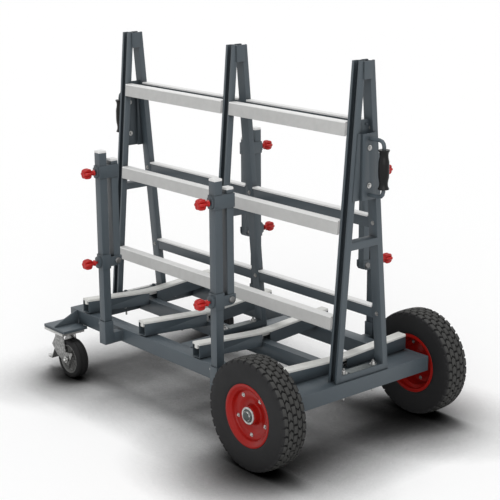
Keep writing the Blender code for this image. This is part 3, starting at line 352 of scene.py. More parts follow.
paint = powder_coat("anthracite_powder_coat")
facing = layered("faced_rail", (rail_mask, FACING, 0.5, 0))
zinc_plate = zinc("zinc_plate")
fork_zinc = zinc("fork_zinc", (0.38, 0.38, 0.37), (0.09, 0.09, 0.09))
bright_zinc = zinc("bright_zinc", (0.60, 0.60, 0.59), (0.36, 0.36, 0.35))
# Painted sheen: a lighter grey-green for the rear foot plate, standing in for the light its top
# reflects.
painted_sheen_steel = zinc("painted_sheen_steel", (0.135, 0.155, 0.155), (0.095, 0.110, 0.110))
tread_rubber = rubber("tyre_rubber", RUBBER, TREAD_DUST, TREAD_DUST_RADIUS)
caster_rubber = rubber("caster_rubber", CASTER_RUBBER)
red_plastic = plastic("red_plastic", RED, shade=0.70, gloss=0.3)
grip_plastic = plastic("grip_plastic", GRIP_BLACK, gloss=DULL_GLOSS)
core_plastic = plastic("grey_plastic", CORE_GREY, (0.35, 0.5))
red_enamel = gloss_paint("red_enamel", RED_PAINT)
cap_plastic = plastic("cap_plastic", CAP, (0.4, 0.55), shade=0.94)


def dress(node, material):
    mesh = nodes[node].data
    mesh.materials.clear()
    mesh.materials.append(material)


def soften(node, width):
    """Rounds a node's edges a little, so that they catch the light."""
    thing = nodes[node]
    weld = thing.modifiers.new("weld", "WELD")
    weld.merge_threshold = 0.00001
    bevel = thing.modifiers.new("bevel", "BEVEL")
    bevel.width = width
    bevel.segments = 2
    bevel.limit_method = "ANGLE"
    bevel.angle_limit = math.radians(35)
    bevel.harden_normals = True
    for polygon in thing.data.polygons:
        polygon.use_smooth = True


for name in nodes:
    dress(name, facing if name.startswith("rail_") else paint)
for number, (x, slope) in enumerate(zip(SUPPORTS, SUPPORT_SLOPES), start=1):
    node = "slab_support_" + str(number)
    dress(node, layered(node, (support_mask(x, slope), STRIP, 0.5, 0)))
post_finish = layered("capped_post", (cap_mask(POST_CAP_Z), CAP, 0.45, 0))
bare_axle = (axle_mask, AXLE_STEEL, 0.3, METAL)
axle_finish = layered("axle_carrier", bare_axle, (bearing_mask, BEARING_FACE, 0.4, 0.6))
dress("front_cross_beam", layered("bracketed_beam", (plate_mask, ZINC, 0.35, METAL)))
for label, side in SIDES.items():
    dress("axle_carrier_" + label, axle_finish)
    dress("caster_fork_" + label, fork_zinc)
    dress("brake_pedal_" + label, zinc_plate)
    for end, x in POSTS.items():
        dress("post_" + label + "_" + end, post_finish)
        node = "extension_bar_" + label + "_" + end
        cap = (cap_mask(BAR_CAP_Z), CAP, 0.4, 0)
        pivot = (pivot_mask(x, side * BAR_PIVOT_Y), PIVOT_STEEL, 0.35, METAL)
        dress(node, layered(node, cap, pivot))


# Forms


def make(name, vertices, faces, material, body="cart", smooth=30.0, place=(0, 0, 0)):
    """A piece that rides on a body; edges sharper than the angle stay sharp."""
    mesh = bpy.data.meshes.new(name)
    mesh.from_pydata([tuple(v) for v in vertices], [], faces)
    body_mesh = bmesh.new()
    body_mesh.from_mesh(mesh)
    bmesh.ops.recalc_face_normals(body_mesh, faces=body_mesh.faces)
    body_mesh.to_mesh(mesh)
    body_mesh.free()
    mesh.materials.append(material)
    mesh.shade_smooth()
    mesh.set_sharp_from_angle(angle=math.radians(smooth))
    thing = bpy.data.objects.new(name, mesh)
    thing.location = place
    bpy.context.scene.collection.objects.link(thing)
    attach(thing, body)
    return thing


def turned(profile, axis, sides, closed=False):
    """Vertices and faces of a profile of (radius, place) points turned round an axis."""
    vertices = []
    rings = []
    for radius, place in profile:
        count = 1 if radius == 0 else sides
        rings.append(range(len(vertices), len(vertices) + count))
        for i in range(count):
            a = 2 * math.pi * i / count
            u, v = radius * math.cos(a), radius * math.sin(a)
            vertices.append((u, place, v) if axis == "Y" else (u, v, place))
    pairs = list(zip(rings, rings[1:]))
    if closed:
        pairs.append((rings[-1], rings[0]))
    faces = []
    for near, far in pairs:
        for i in range(sides):
            j = (i + 1) % sides
            corner = [near[i % len(near)], near[j % len(near)]]
            corner += [far[j % len(far)], far[i % len(far)]]
            faces.append(tuple(dict.fromkeys(corner)))
    return vertices, faces


def mirrored(half):
    """The other half of a profile that is the same on both sides of its middle."""
    return [(radius, -place) for radius, place in reversed(half)]


def handed(profile, side):
    return [(radius, side * place) for radius, place in profile]


def walls(start, count, rings=2, closed=False):
    """Faces between neighbouring rings of count vertices each, with the first ring at start."""
    faces = []
    for ring in range(rings if closed else rings - 1):
        low = start + ring * count
        high = start + (ring + 1) % rings * count
        for i in range(count):
            j = (i + 1) % count
            faces.append((low + i, low + j, high + j, high + i))
    return faces


def lid(start, count):
    return tuple(range(start, start + count))


def aimed(vertices, axis, place):
    """Vertices turned from Z to an axis and moved to a place."""
    turn = Vector(UP).rotation_difference(Vector(axis)).to_matrix()
    return [turn @ Vector(v) + Vector(place) for v in vertices]


HEAD_HEIGHT_SHARE = 0.62
WASHER_SHARE = 1.15 / 1.1
WASHER_WALL_SHARE = 0.16
HEAD_CHAMFER_SHARES = (0.86, 0.85)


def bolt(name, place, axis, size, material=zinc_plate, body="cart"):
    """A hex head on a washer; it points along the axis, and its size is its width over flats."""
    radius = size / math.sqrt(3)
    height = HEAD_HEIGHT_SHARE * size
    washer = WASHER_SHARE * size
    wall = WASHER_WALL_SHARE * size
    narrow, upright = HEAD_CHAMFER_SHARES
    profile = [(0, 0), (washer, 0), (washer, wall), (radius * 1.02, wall)]
    vertices, faces = turned(profile, "Z", 24)
    start = len(vertices)
    for r, z in (
        (radius, wall),
        (radius, wall + height * upright),
        (radius * narrow, wall + height),
    ):
        for i in range(6):
            a = math.pi * i / 3
            vertices.append((r * math.cos(a), r * math.sin(a), z))
    faces += walls(start, 6, 3) + [lid(start + 12, 6)]
    return make(name, aimed(vertices, axis, place), faces, material, body)


def stud(name, place, axis, radius, length, material=zinc_plate):
    """A chamfered round bolt end."""
    tip = 0.25 * radius
    profile = [(0, 0), (radius, 0), (radius, length - tip), (radius - tip, length), (0, length)]
    vertices, faces = turned(profile, "Z", 16)
    return make(name, aimed(vertices, axis, place), faces, material)


def prism(name, outline, reach, material):
    """A closed outline of (y, z) points drawn out along X."""
    count = len(outline)
    vertices = [(x, y, z) for x in reach for y, z in outline]
    faces = [lid(0, count), lid(count, count)] + walls(0, count)
    return make(name, vertices, faces, material)


# Half of the carcass, from the bead to the tread, as (radius, place along the axle)
TREAD_FLOOR = 0.1915
CARCASS = [
    (0.1036, 0.0436),
    (0.1120, 0.0440),
    (0.1150, 0.0452),
    (0.1180, 0.0478),
    (0.1230, 0.0492),
    (0.1350, 0.0508),
    (0.1500, 0.0520),
    (0.1640, 0.0524),
    (0.1760, 0.0520),
    (0.1840, 0.0510),
    (0.1885, 0.0490),
    (0.1912, 0.0440),
    (TREAD_FLOOR - 0.0008, 0.0300),
    (TREAD_FLOOR, 0.0150),
]
# Rows of blocks: both edges along the axle, the shift in pitches and the slant of the ends
TREAD_ROWS = (
    (-0.0505, -0.0318, 0.0, 0.34),
    (-0.0284, -0.0112, 0.5, 0.60),
    (-0.0080, 0.0080, 0.0, 0.0),
    (0.0112, 0.0284, 0.5, -0.60),
    (0.0318, 0.0505, 0.0, -0.34),
)
TREAD_PITCHES = 37
TREAD_PITCH = 2 * math.pi / TREAD_PITCHES
BLOCK_HALF_SHARE = 0.385
BLOCK_ROOT = 0.004
BLOCK_EDGE = 0.0014
CROWN_DROP = 0.0035
CROWN_HALF_WIDTH = 0.050
SHOULDER_Y = 0.045
SHOULDER_REACH = 0.0512
SHOULDER_DROPS = (0.0040, 0.0030, 0.0016)
BLOCK_SPREADS = (1.05, 1.0, 0.86)


def tread_block(low, high, slant, middle):
    """Vertices of one block: its root, its upper edge and its worn top, six on each."""
    half = BLOCK_HALF_SHARE * TREAD_PITCH
    bend = slant * half / 2
    centre = (low + high) / 2
    outline = (
        (low, middle - half - bend),
        (centre, middle - half + bend),
        (high, middle - half - bend),
        (high, middle + half - bend),
        (centre, middle + half + bend),
        (low, middle + half - bend),
    )
    on_shoulder = max(abs(low), abs(high)) > CROWN_HALF_WIDTH
    vertices = []
    for level, share in enumerate(BLOCK_SPREADS):
        for y, angle in outline:
            spread = centre + (y - centre) * share
            swing = middle + (angle - middle) * share
            top = WHEEL_RADIUS - CROWN_DROP * (abs(y) / CROWN_HALF_WIDTH) ** 2
            r = (TREAD_FLOOR - BLOCK_ROOT, top - BLOCK_EDGE, top)[level]
            if on_shoulder and abs(y) > SHOULDER_Y:
                r -= SHOULDER_DROPS[level]
                spread = math.copysign(min(abs(spread), SHOULDER_REACH), spread)
            vertices.append((r * math.cos(swing), spread, r * math.sin(swing)))
    return vertices


def tyre(label, side):
    """A pneumatic tyre: a smooth carcass and rows of separate tread blocks."""
    centre = (AXLE.x, side * AXLE.y, AXLE.z)
    profile = CARCASS + [(TREAD_FLOOR, 0.0)] + mirrored(CARCASS)
    vertices, faces = turned(profile, "Y", 120, closed=True)
    for low, high, shift, slant in TREAD_ROWS:
        for i in range(TREAD_PITCHES):
            start = len(vertices)
            vertices += tread_block(low, high, slant, (i + shift) * TREAD_PITCH)
            faces += walls(start, 6, 3) + [lid(start + 12, 6)]
    name = "tyre_tread_" + label
    thing = make(name, vertices, faces, tread_rubber, "wheel_" + label, 50.0, centre)
    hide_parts("tyre_" + label)


# The rim's section, from the hub's bore round the disc and both flanges, as (radius, place)
RIM = [
    (0.0128, -0.0374),
    (0.0128, 0.0374),
    (0.0318, 0.0374),
    (0.0338, 0.0362),
    (0.0340, 0.0200),
    (0.0358, 0.0155),
    (0.0395, 0.0132),
    (0.0470, 0.0134),
    (0.0560, 0.0165),
    (0.0640, 0.0212),
    (0.0690, 0.0228),
    (0.0800, 0.0230),
    (0.0845, 0.0238),
    (0.0868, 0.0258),
    (0.0880, 0.0290),
    (0.0892, 0.0330),
    (0.0912, 0.0372),
    (0.0960, 0.0402),
    (0.1010, 0.0436),
    (0.1040, 0.0460),
    (0.1090, 0.0468),
    (0.1125, 0.0462),
    (0.1133, 0.0450),
    (0.1128, 0.0440),
    (0.1100, 0.0438),
    (0.1030, 0.0436),
    (0.1030, 0.0300),
    (0.0930, 0.0200),
    (0.0930, -0.0200),
    (0.1030, -0.0300),
    (0.1030, -0.0436),
    (0.1128, -0.0440),
    (0.1133, -0.0450),
    (0.1125, -0.0462),
    (0.1020, -0.0462),
    (0.1002, -0.0440),
    (0.1000, -0.0320),
    (0.0900, -0.0210),
    (0.0898, 0.0030),
    (0.0850, 0.0150),
    (0.0690, 0.0172),
    (0.0640, 0.0156),
    (0.0560, 0.0110),
    (0.0440, 0.0078),
    (0.0360, 0.0040),
    (0.0340, 0.0000),
    (0.0338, -0.0360),
    (0.0320, -0.0374),
]
BEARING_RING = [
    (0.0238, 0.0405),
    (0.0238, 0.0418),
    (0.0248, 0.0424),
    (0.0296, 0.0424),
    (0.0306, 0.0418),
    (0.0306, 0.0405),
]
AXLE_NUT = ((0.0186, 0.0405), (0.0186, 0.0478), (0.0172, 0.0492))
AXLE_NUT_TURN = 0.2
RIM_BOLTS = 5
RIM_BOLT_CIRCLE = 0.0737
RIM_BOLT_TURN = 53.3
RIM_BOLT_SIZE = 0.0070
DISC_FRONT, DISC_BACK = 0.0229, 0.0160


def rim(label, side):
    """A two-piece steel rim with rounded flanges, a dished disc, a hub and its bolts."""
    body = "wheel_" + label
    centre = (AXLE.x, side * AXLE.y, AXLE.z)
    vertices, faces = turned(handed(RIM, side), "Y", 96, closed=True)
    thing = make("rim_shell_" + label, vertices, faces, red_enamel, body, place=centre)
    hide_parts("rim_" + label)
    for i in range(RIM_BOLTS):
        a = math.radians(RIM_BOLT_TURN + 360 / RIM_BOLTS * i)
        along, up = AXLE.x + RIM_BOLT_CIRCLE * math.cos(a), AXLE.z + RIM_BOLT_CIRCLE * math.sin(a)
        name = label + "_" + str(i)
        front = (along, side * (AXLE.y + DISC_FRONT), up)
        bolt("rim_bolt_" + name, front, (0, side, 0), RIM_BOLT_SIZE, bright_zinc, body)
        back = (along, side * (AXLE.y + DISC_BACK), up)
        bolt("rim_nut_" + name, back, (0, -side, 0), RIM_BOLT_SIZE, body=body)
    vertices, faces = turned(handed(BEARING_RING, side), "Y", 64, closed=True)
    make("bearing_ring_" + label, vertices, faces, bright_zinc, place=centre)
    vertices = []
    for radius, y in AXLE_NUT:
        for i in range(6):
            a = math.pi * i / 3 + AXLE_NUT_TURN
            vertices.append((radius * math.cos(a), side * y, radius * math.sin(a)))
    faces = walls(0, 6, 3) + [lid(0, 6), lid(12, 6)]
    make("axle_nut_" + label, vertices, faces, bright_zinc, place=centre)


# A knob's rings: radius, how deep the hollows between its lobes are, and place from its base
KNOB_BODY = (
    (0.0100, 0.0, 0.0),
    (0.0118, 0.0, 0.0016),
    (0.0104, 0.0, 0.0052),
    (0.0090, 0.0, 0.0095),
    (0.0098, 0.0008, 0.0140),
    (0.0150, 0.0048, 0.0172),
    (0.0194, 0.0082, 0.0205),
    (0.0212, 0.0096, 0.0250),
    (0.0216, 0.0100, 0.0320),
    (0.0211, 0.0096, 0.0395),
    (0.0194, 0.0082, 0.0452),
    (0.0164, 0.0056, 0.0492),
    (0.0124, 0.0024, 0.0510),
    (0.0088, 0.0, 0.0512),
    (0.0072, 0.0, 0.0498),
    (0.0044, 0.0, 0.0492),
)
KNOB_STUD_RADIUS = 0.0048
KNOB_STUD_GAP = 0.0004
KNOB_LOBES = 6
KNOB_LOBE_POWER = 0.7
KNOB_SIDES = 60


def star_knob(level, label, side, end, x):
    """A moulded star knob with rounded lobes and a flared neck."""
    node = level + "_knob_" + label + "_" + end
    start = KNOB_SEAT_Y[level]
    base = start + KNOB_STUD[level]
    rings = [(KNOB_STUD_RADIUS, 0.0, start), (KNOB_STUD_RADIUS, 0.0, base - KNOB_STUD_GAP)]
    rings += [(radius, lobe, base + place) for radius, lobe, place in KNOB_BODY]
    vertices = []
    for radius, lobe, place in rings:
        for i in range(KNOB_SIDES):
            a = 2 * math.pi * i / KNOB_SIDES
            swell = abs(math.cos(KNOB_LOBES / 2 * a)) ** KNOB_LOBE_POWER
            r = radius - lobe + lobe * swell
            vertices.append((r * math.cos(a), side * place, r * math.sin(a)))
    faces = walls(0, KNOB_SIDES, len(rings))
    faces += [lid(0, KNOB_SIDES), lid(len(vertices) - KNOB_SIDES, KNOB_SIDES)]
    place = (x, 0, KNOB_Z[level])
    thing = make("star_" + node, vertices, faces, red_plastic, node, 40.0, place)
    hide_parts(node)


# Half of a grip, from its end to near its middle, as (radius, distance from the end)
GRIP = (
    (0.0188, 0.0),
    (0.0195, 0.0012),
    (0.0194, 0.0034),
    (0.0176, 0.0068),
    (0.0158, 0.0112),
    (0.0150, 0.0170),
    (0.0151, 0.0240),
    (0.0164, 0.0320),
    (0.0182, 0.0400),
    (0.0188, 0.0500),
)
GRIP_BORE = 0.0066
GRIP_MIDDLE_RADIUS = 0.0190


def grip(end):
    """A moulded grip with a waist, a swollen middle and flared ends."""
    half = [(GRIP_BORE, GRIP_HALF_LENGTH)]
    half += [(radius, GRIP_HALF_LENGTH - inward) for radius, inward in GRIP]
    profile = half + [(GRIP_MIDDLE_RADIUS, 0.0)] + mirrored(half)
    vertices, faces = turned(profile, "Z", 48, closed=True)
    low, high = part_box("grip_" + end)
    middle = (low + high) / 2
    name = "moulded_grip_" + end
    thing = make(name, vertices, faces, grip_plastic, smooth=40.0, place=middle)
    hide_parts("grip_" + end)


# Halves of a caster wheel's tread and core, as (radius, place along its axle)
CASTER_TREAD = [
    (0.0588, 0.0215),
    (0.0600, 0.0240),
    (0.0640, 0.0250),
    (0.0700, 0.0249),
    (0.0750, 0.0240),
    (0.0780, 0.0215),
    (0.0794, 0.0160),
    (0.0798, 0.0112),
    (0.0780, 0.0108),
    (0.0780, 0.0088),
    (0.0799, 0.0084),
]
CASTER_CORE = [
    (0.0064, 0.0263),
    (0.0150, 0.0263),
    (0.0180, 0.0250),
    (0.0190, 0.0180),
    (0.0210, 0.0110),
    (0.0260, 0.0090),
    (0.0450, 0.0090),
    (0.0500, 0.0110),
    (0.0530, 0.0160),
    (0.0545, 0.0215),
    (0.0560, 0.0235),
    (0.0585, 0.0235),
    (0.0590, 0.0210),
]
RIBS = 10
RIB_INNER, RIB_OUTER = 0.0195, 0.0530
RIB_INNER_HALF, RIB_OUTER_HALF = 0.0016, 0.0012
RIB_ROOT, RIB_TOP, RIB_OUTER_TOP = 0.0086, 0.0185, 0.0155


def caster_wheel(label, side):
    """A caster wheel: a grooved rubber tread on a ribbed core with a hub."""
    body = "roller_" + label
    centre = (CASTER.x + TRAIL, side * CASTER.y, CASTER_WHEEL_RADIUS)
    profile = CASTER_TREAD + [(CASTER_WHEEL_RADIUS, 0.0)] + mirrored(CASTER_TREAD)
    vertices, faces = turned(profile, "Y", 72, closed=True)
    thing = make("caster_tread_" + label, vertices, faces, caster_rubber, body, 40.0, centre)
    vertices, faces = turned(CASTER_CORE + mirrored(CASTER_CORE), "Y", 72, closed=True)
    inner = make("caster_core_" + label, vertices, faces, core_plastic, body, 35.0, centre)
    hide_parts("caster_wheel_" + label)
    for face, out in (("a", -1), ("b", 1)):
        vertices = []
        faces = []
        for i in range(RIBS):
            a = 2 * math.pi * i / RIBS
            faces += [lid(len(vertices), 4), lid(len(vertices) + 4, 4)] + walls(len(vertices), 4)
            for inner_y, outer_y in ((RIB_ROOT, RIB_ROOT), (RIB_TOP, RIB_OUTER_TOP)):
                for r, across, y in (
                    (RIB_INNER, -RIB_INNER_HALF, inner_y),
                    (RIB_OUTER, -RIB_OUTER_HALF, outer_y),
                    (RIB_OUTER, RIB_OUTER_HALF, outer_y),
                    (RIB_INNER, RIB_INNER_HALF, inner_y),
                ):
                    x = r * math.cos(a) - across * math.sin(a)
                    z = r * math.sin(a) + across * math.cos(a)
                    vertices.append((x, out * y, z))
        name = "caster_ribs_" + label + "_" + face
        make(name, vertices, faces, core_plastic, body, place=centre)


# The lip's section over a rail's top edge: outwards from the leg's face, and upwards
RAIL_LIP = (
    (0.0054, -0.0036),
    (0.0054, -0.0018),
    (0.0046, -0.0003),
    (0.0032, 0.0008),
    (-0.0238, 0.0008),
    (-0.0252, -0.0006),
    (-0.0252, -0.0058),
    (-0.0231, -0.0058),
    (-0.0231, -0.0039),
    (-0.0028, -0.0039),
    (-0.0028, 0.0001),
    (0.0030, 0.0001),
    (0.0051, -0.0020),
    (0.0051, -0.0036),
)
LIP_FRONT_INSET = 0.0004
LIP_REAR_INSET = 0.0054


def rail_lip_and_highlight(node):
    """The lip of a facing, hooked over the rail's top and down its back, in the white cap plastic
    that is paler than the facing: partly the facing's own top and partly a painted highlight along
    the top edge.
    """
    low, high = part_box(node)
    side = 1 if low.y > 0 else -1
    outline = [(side * (half_width(high.z + up) + out), high.z + up) for out, up in RAIL_LIP]
    reach = (low.x + LIP_FRONT_INSET, high.x - LIP_REAR_INSET)
    prism(node + "_lip", outline, reach, cap_plastic)


RAIL_BOLT_DROP = 0.024
RAIL_BOLT_SIZE = 0.0074
LEG_INNER = LEG_DEPTH + 0.0002
FOOT_PLATE_HALF_LENGTH = 0.0585
FOOT_PLATE_HALF_WIDTH = 0.0185
# Height over the foot bar, and how far the plate's edge draws in there
FOOT_PLATE_LEVELS = ((0.0001, 0.0), (0.0010, 0.0), (0.0015, 0.0005))
FOOT_NUT_SIZE = 0.0130
FRONT_FOOT_NUT_SIZE = 0.0110
# Bolt ends: radius and length
FOOT_STUD = (0.0040, 0.0150)
FOOT_STUD_Z = 0.2880
FOOT_END = (0.0042, 0.0740)
FOOT_END_Z = 0.2590


def rack_bolts(end, x):
    """The foot plate with its painted sheen, rail bolts, foot bolts and their ends on one A-frame.
    """
    at_front = end == "front"
    near_edge = 0.0 if at_front else FOOT_PLATE_HALF_WIDTH
    # Painted sheen: the sheet over the foot bar's top is paler than the paint, bright zinc at the
    # front and a lighter grey-green at the rear, standing in for the light the bar's top reflects,
    # which is stronger at the front.
    vertices = []
    for up, edge in FOOT_PLATE_LEVELS:
        far, near = edge - FOOT_PLATE_HALF_WIDTH, near_edge - edge
        for u, v in ((far, -1), (near, -1), (near, 1), (far, 1)):
            vertices.append((x + u, v * (FOOT_PLATE_HALF_LENGTH - edge), FOOT_BAR_TOP + up))
    faces = [lid(0, 4), lid(8, 4)] + walls(0, 4, 3)
    make("foot_sheen_plate_" + end, vertices, faces, bright_zinc if at_front else painted_sheen_steel)
    for label, side in SIDES.items():
        for level in ("bottom", "middle", "top"):
            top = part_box("rail_" + label + "_" + level + "_front")[1].z
            z = top - RAIL_BOLT_DROP
            place = (x, side * (half_width(z) - LEG_INNER), z)
            name = "rail_bolt_" + "_".join((end, label, level))
            bolt(name, place, (0, -side, 0), RAIL_BOLT_SIZE)
        name = end + "_" + label
        y = side * FOOT_BOLT_Y
        size, finish = (FRONT_FOOT_NUT_SIZE, paint) if at_front else (FOOT_NUT_SIZE, bright_zinc)
        bolt("foot_nut_" + name, (x, y, FOOT_BAR_TOP), UP, size, finish)
        if not at_front:
            stud("foot_stud_" + name, (x, y, FOOT_STUD_Z), UP, *FOOT_STUD)
        stud("foot_end_" + name, (x, y, FOOT_END_Z), DOWN, *FOOT_END, bright_zinc)


PANEL_BOLT_HEIGHTS = (0.954, 1.084)
PANEL_BOLT_SIZE = 0.0092
PANEL_FRONT, PANEL_BACK = 0.6970, 0.6945
TIE_LOW, TIE_HIGH = 1.1180, 1.1760
TIE_BACK, TIE_FRONT = 0.661, 0.665
TIE_INSET = 0.0238
TIE_BOLT_Y, TIE_BOLT_Z = 0.013, 1.160
TIE_BOLT_SIZE = 0.0064


def handle_bolts(end, out):
    """The two bolts of a handle panel with their nuts, and the tie above the panel."""
    for number, z in enumerate(PANEL_BOLT_HEIGHTS):
        name = end + "_" + str(number)
        for kind, x, turn in (("bolt", PANEL_FRONT, out), ("nut", PANEL_BACK, -out)):
            place = (out * x, 0, z)
            bolt("panel_" + kind + "_" + name, place, (turn, 0, 0), PANEL_BOLT_SIZE, bright_zinc)
    outline = []
    for side, z in ((-1, TIE_LOW), (1, TIE_LOW), (1, TIE_HIGH), (-1, TIE_HIGH)):
        outline.append((side * (half_width(z) - TIE_INSET), z))
    prism("panel_tie_" + end, outline, sorted((out * TIE_BACK, out * TIE_FRONT)), paint)
    for number, y in enumerate((-TIE_BOLT_Y, TIE_BOLT_Y)):
        place = (out * TIE_FRONT, y, TIE_BOLT_Z)
        bolt("tie_bolt_" + end + "_" + str(number), place, (out, 0, 0), TIE_BOLT_SIZE, paint)


# The swivel's race under the plate, as (radius, height)
RACE = [
    (0.0130, 0.1800),
    (0.0285, 0.1800),
    (0.0300, 0.1815),
    (0.0300, 0.1850),
    (0.0285, 0.1862),
    (0.0270, 0.1866),
    (0.0270, 0.1878),
    (0.0315, 0.1882),
    (0.0330, 0.1895),
    (0.0330, 0.1922),
    (0.0130, 0.1922),
]
# The folded lip of the plate: half its length, half its width, and height, ring by ring
PLATE_LIP = (
    (0.0675, 0.0530, 0.1945),
    (0.0675, 0.0530, 0.1858),
    (0.0667, 0.0522, 0.1850),
    (0.0650, 0.0505, 0.1850),
    (0.0645, 0.0500, 0.1858),
    (0.0645, 0.0500, 0.1945),
)
PLATE_SHIFT = 0.003
# The pedal's bar, seen from the side: distance from the swivel's axis, and height
PEDAL_BAR = ((-0.1285, 0.0470), (-0.1285, 0.0500), (-0.0860, 0.0610), (-0.0860, 0.0580))
PEDAL_BAR_HALF_WIDTH = 0.007
PLATE_NUT_X = {"a": -0.056, "b": 0.056}
PLATE_NUT_Y = {"a": -0.038, "b": 0.044}
PLATE_NUT_Z = 0.1934
PLATE_NUT_SIZE = 0.0115
PLATE_STUD = (0.0036, 0.0125)
CASTER_BOLTS = {"in": -1, "out": 1}
CASTER_BOLT_Y = 0.0362
CASTER_BOLT_SIZE = 0.0130


def caster_details(label, side):
    """The race under the caster's plate, the plate's lip and nuts, the pedal bar and axle bolts."""
    swivel = "swivel_" + label
    centre = Vector((CASTER.x, side * CASTER.y, 0))
    vertices, faces = turned(RACE, "Z", 48, closed=True)
    make("swivel_race_" + label, vertices, faces, bright_zinc, swivel, 35.0, centre)
    vertices = []
    for half_x, half_y, z in PLATE_LIP:
        for u, v in ((-1, -1), (1, -1), (1, 1), (-1, 1)):
            y = side * (CASTER.y + PLATE_SHIFT) + v * half_y
            vertices.append((CASTER.x + u * half_x, y, z))
    make("plate_lip_" + label, vertices, walls(0, 4, len(PLATE_LIP), closed=True), bright_zinc)
    vertices = []
    for v in (-PEDAL_BAR_HALF_WIDTH, PEDAL_BAR_HALF_WIDTH):
        vertices += [(CASTER.x + u, side * CASTER.y + v, z) for u, z in PEDAL_BAR]
    faces = [lid(0, 4), lid(4, 4)] + walls(0, 4)
    make("pedal_bar_" + label, vertices, faces, bright_zinc, "pedal_" + label)
    for row, along in PLATE_NUT_X.items():
        for line, across in PLATE_NUT_Y.items():
            name = "_".join((label, row, line))
            place = centre + Vector((along, side * across, PLATE_NUT_Z))
            bolt("plate_nut_" + name, place, DOWN, PLATE_NUT_SIZE)
            stud("plate_stud_" + name, place, DOWN, *PLATE_STUD)
    for end, out in CASTER_BOLTS.items():
        place = centre + Vector((TRAIL, side * out * CASTER_BOLT_Y, CASTER_WHEEL_RADIUS))
        name = "caster_bolt_" + label + "_" + end
        bolt(name, place, (0, side * out, 0), CASTER_BOLT_SIZE, bright_zinc, swivel)


# From the post's axis along X, across and up
SOCKET_SCREW = (-0.0206, 0.398, 0.290)
SOCKET_SCREW_SIZE = 0.0085
SUPPORT_STUD = (0.0045, 0.0130)
SUPPORT_STUD_Y, SUPPORT_STUD_Z = 0.130, 0.2560
STUDDED_SUPPORTS = 3

for label, side in SIDES.items():
    tyre(label, side)
    rim(label, side)
    caster_wheel(label, side)
    caster_details(label, side)
    for end, x in POSTS.items():
        star_knob("upper", label, side, end, x)
        star_knob("lower", label, side, end, x)
        along, across, up = SOCKET_SCREW
        place = (x + along, side * across, up)
        name = "socket_screw_" + label + "_" + end
        bolt(name, place, (-1, 0, 0), SOCKET_SCREW_SIZE, bright_zinc)
    for number, x in enumerate(SUPPORTS[:STUDDED_SUPPORTS], start=1):
        place = (x, side * SUPPORT_STUD_Y, SUPPORT_STUD_Z)
        stud("support_stud_" + label + "_" + str(number), place, DOWN, *SUPPORT_STUD)
for end, x in FRAMES.items():
    rack_bolts(end, x)
for end, out in ENDS.items():
    grip(end)
    handle_bolts(end, out)

MOULDED = ("tyre_", "rim_", "grip_", "upper_knob_", "lower_knob_", "caster_wheel_")
THIN = ("caster_fork_", "brake_pedal_", "handle_")
THIN_EDGE, EDGE = 0.0006, 0.0011

for name in nodes:
    if name.startswith("rail_"):
        rail_lip_and_highlight(name)
for name in nodes:
    if not name.startswith(MOULDED):
        soften(name, THIN_EDGE if name.startswith(THIN) else EDGE)

# Light, floor and camera


def sun(name, direction, strength, angle):
    lamp = bpy.data.lights.new(name, "SUN")
    lamp.energy = strength
    lamp.angle = math.radians(angle)
    thing = bpy.data.objects.new(name, lamp)
    thing.rotation_euler = Vector(direction).to_track_quat("-Z", "Y").to_euler()
    bpy.context.scene.collection.objects.link(thing)


sun("key", (0.14, -0.16, -1.0), strength=1.38, angle=24)
sun("front", (-0.65, 0.75, -0.55), strength=0.82, angle=60)
sun("side", (-1.0, 0.6, -0.5), strength=0.45, angle=50)

WORLD_ON_OBJECT = 0.42
WORLD_SEEN = 1.0

world = bpy.data.worlds.new("studio")
bpy.context.scene.world = world
world.use_nodes = True
tree = world.node_tree
background = tree.nodes["Background"]
background.inputs["Color"].default_value = (1, 1, 1, 1)
rays = tree.nodes.new("ShaderNodeLightPath")
shown = rays.outputs["Is Camera Ray"]
for kind in ("Is Glossy Ray", "Is Transmission Ray"):
    seen = tree.nodes.new("ShaderNodeMath")
    seen.operation = "MAXIMUM"
    tree.links.new(shown, seen.inputs[0])
    tree.links.new(rays.outputs[kind], seen.inputs[1])
    shown = seen.outputs[0]
level = tree.nodes.new("ShaderNodeMapRange")
level.inputs["To Min"].default_value = WORLD_ON_OBJECT
level.inputs["To Max"].default_value = WORLD_SEEN
tree.links.new(shown, level.inputs["Value"])
tree.links.new(level.outputs[0], background.inputs["Strength"])

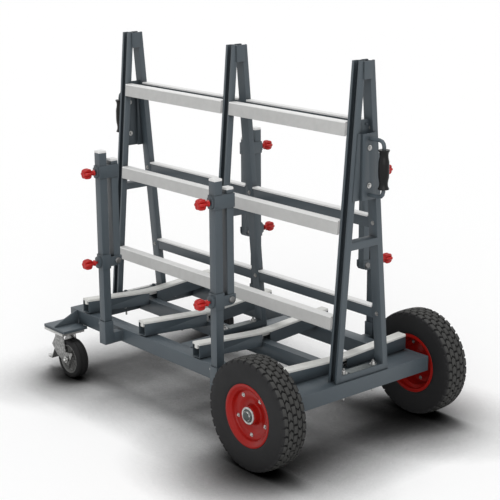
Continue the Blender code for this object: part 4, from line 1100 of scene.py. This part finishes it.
FLOOR_REACH = 30.0
FLOOR_PALE = ((0.965, 0.965, 0.965), (0.975, 0.975, 0.975))
BLACK = (0.0, 0.0, 0.0)

floor_mesh = bpy.data.meshes.new("floor")
corners = [(FLOOR_REACH * u, FLOOR_REACH * v, 0) for u, v in ((-1, -1), (1, -1), (1, 1), (-1, 1))]
floor_mesh.from_pydata(corners, [], [lid(0, 4)])
floor = bpy.data.objects.new("floor", floor_mesh)
bpy.context.scene.collection.objects.link(floor)
# Painted shadow: the floor goes to black where the cart is near above it, by occlusion over 0.38 m
# sampled round a normal leaned towards -X and +Y, so the shadow falls more to the +X, -Y side.
m = Nodes("pale_floor_painted_shadow")
painted_shadow_lean = m.tree.nodes.new("ShaderNodeCombineXYZ")
for socket, part in zip(painted_shadow_lean.inputs, (-0.20, 0.26, 0.94)):
    socket.default_value = part
painted_floor_shadow = m.openness(distance=0.38, samples=16, power=4.2, normal=painted_shadow_lean.outputs[0])
pale = m.mix(m.noise(scale=0.4), *FLOOR_PALE)
floor_mesh.materials.append(m.finish(m.mix(painted_floor_shadow, BLACK, pale), 0.9))
m.shader.inputs["Specular IOR Level"].default_value = 0.0

# The camera was fitted to the photograph: angles in radians, and the focal length in pixels

CAMERA_PLACE = Vector((3.780, -3.1435, 1.8984))
YAW, PITCH, ROLL = 0.7030, 0.2604, -0.0058
FOCAL_PIXELS, PICTURE_PIXELS = 1320.6, 500

level_part = math.cos(PITCH)
toward = Vector((-level_part * math.cos(YAW), level_part * math.sin(YAW), -math.sin(PITCH)))
right = toward.cross(Vector((0, 0, 1))).normalized()
up = right.cross(toward)
turned_right = math.cos(ROLL) * right + math.sin(ROLL) * up
turned_up = math.cos(ROLL) * up - math.sin(ROLL) * right
lens = bpy.data.cameras.new("camera")
lens.sensor_width = 36.0
lens.lens = FOCAL_PIXELS / PICTURE_PIXELS * lens.sensor_width
lens.clip_end = 200.0
camera = bpy.data.objects.new("camera", lens)
pose = Matrix((turned_right, turned_up, -toward)).transposed().to_4x4()
camera.matrix_world = Matrix.Translation(CAMERA_PLACE) @ pose
bpy.context.scene.collection.objects.link(camera)
bpy.context.scene.camera = camera
bpy.context.scene.view_settings.view_transform = "Standard"
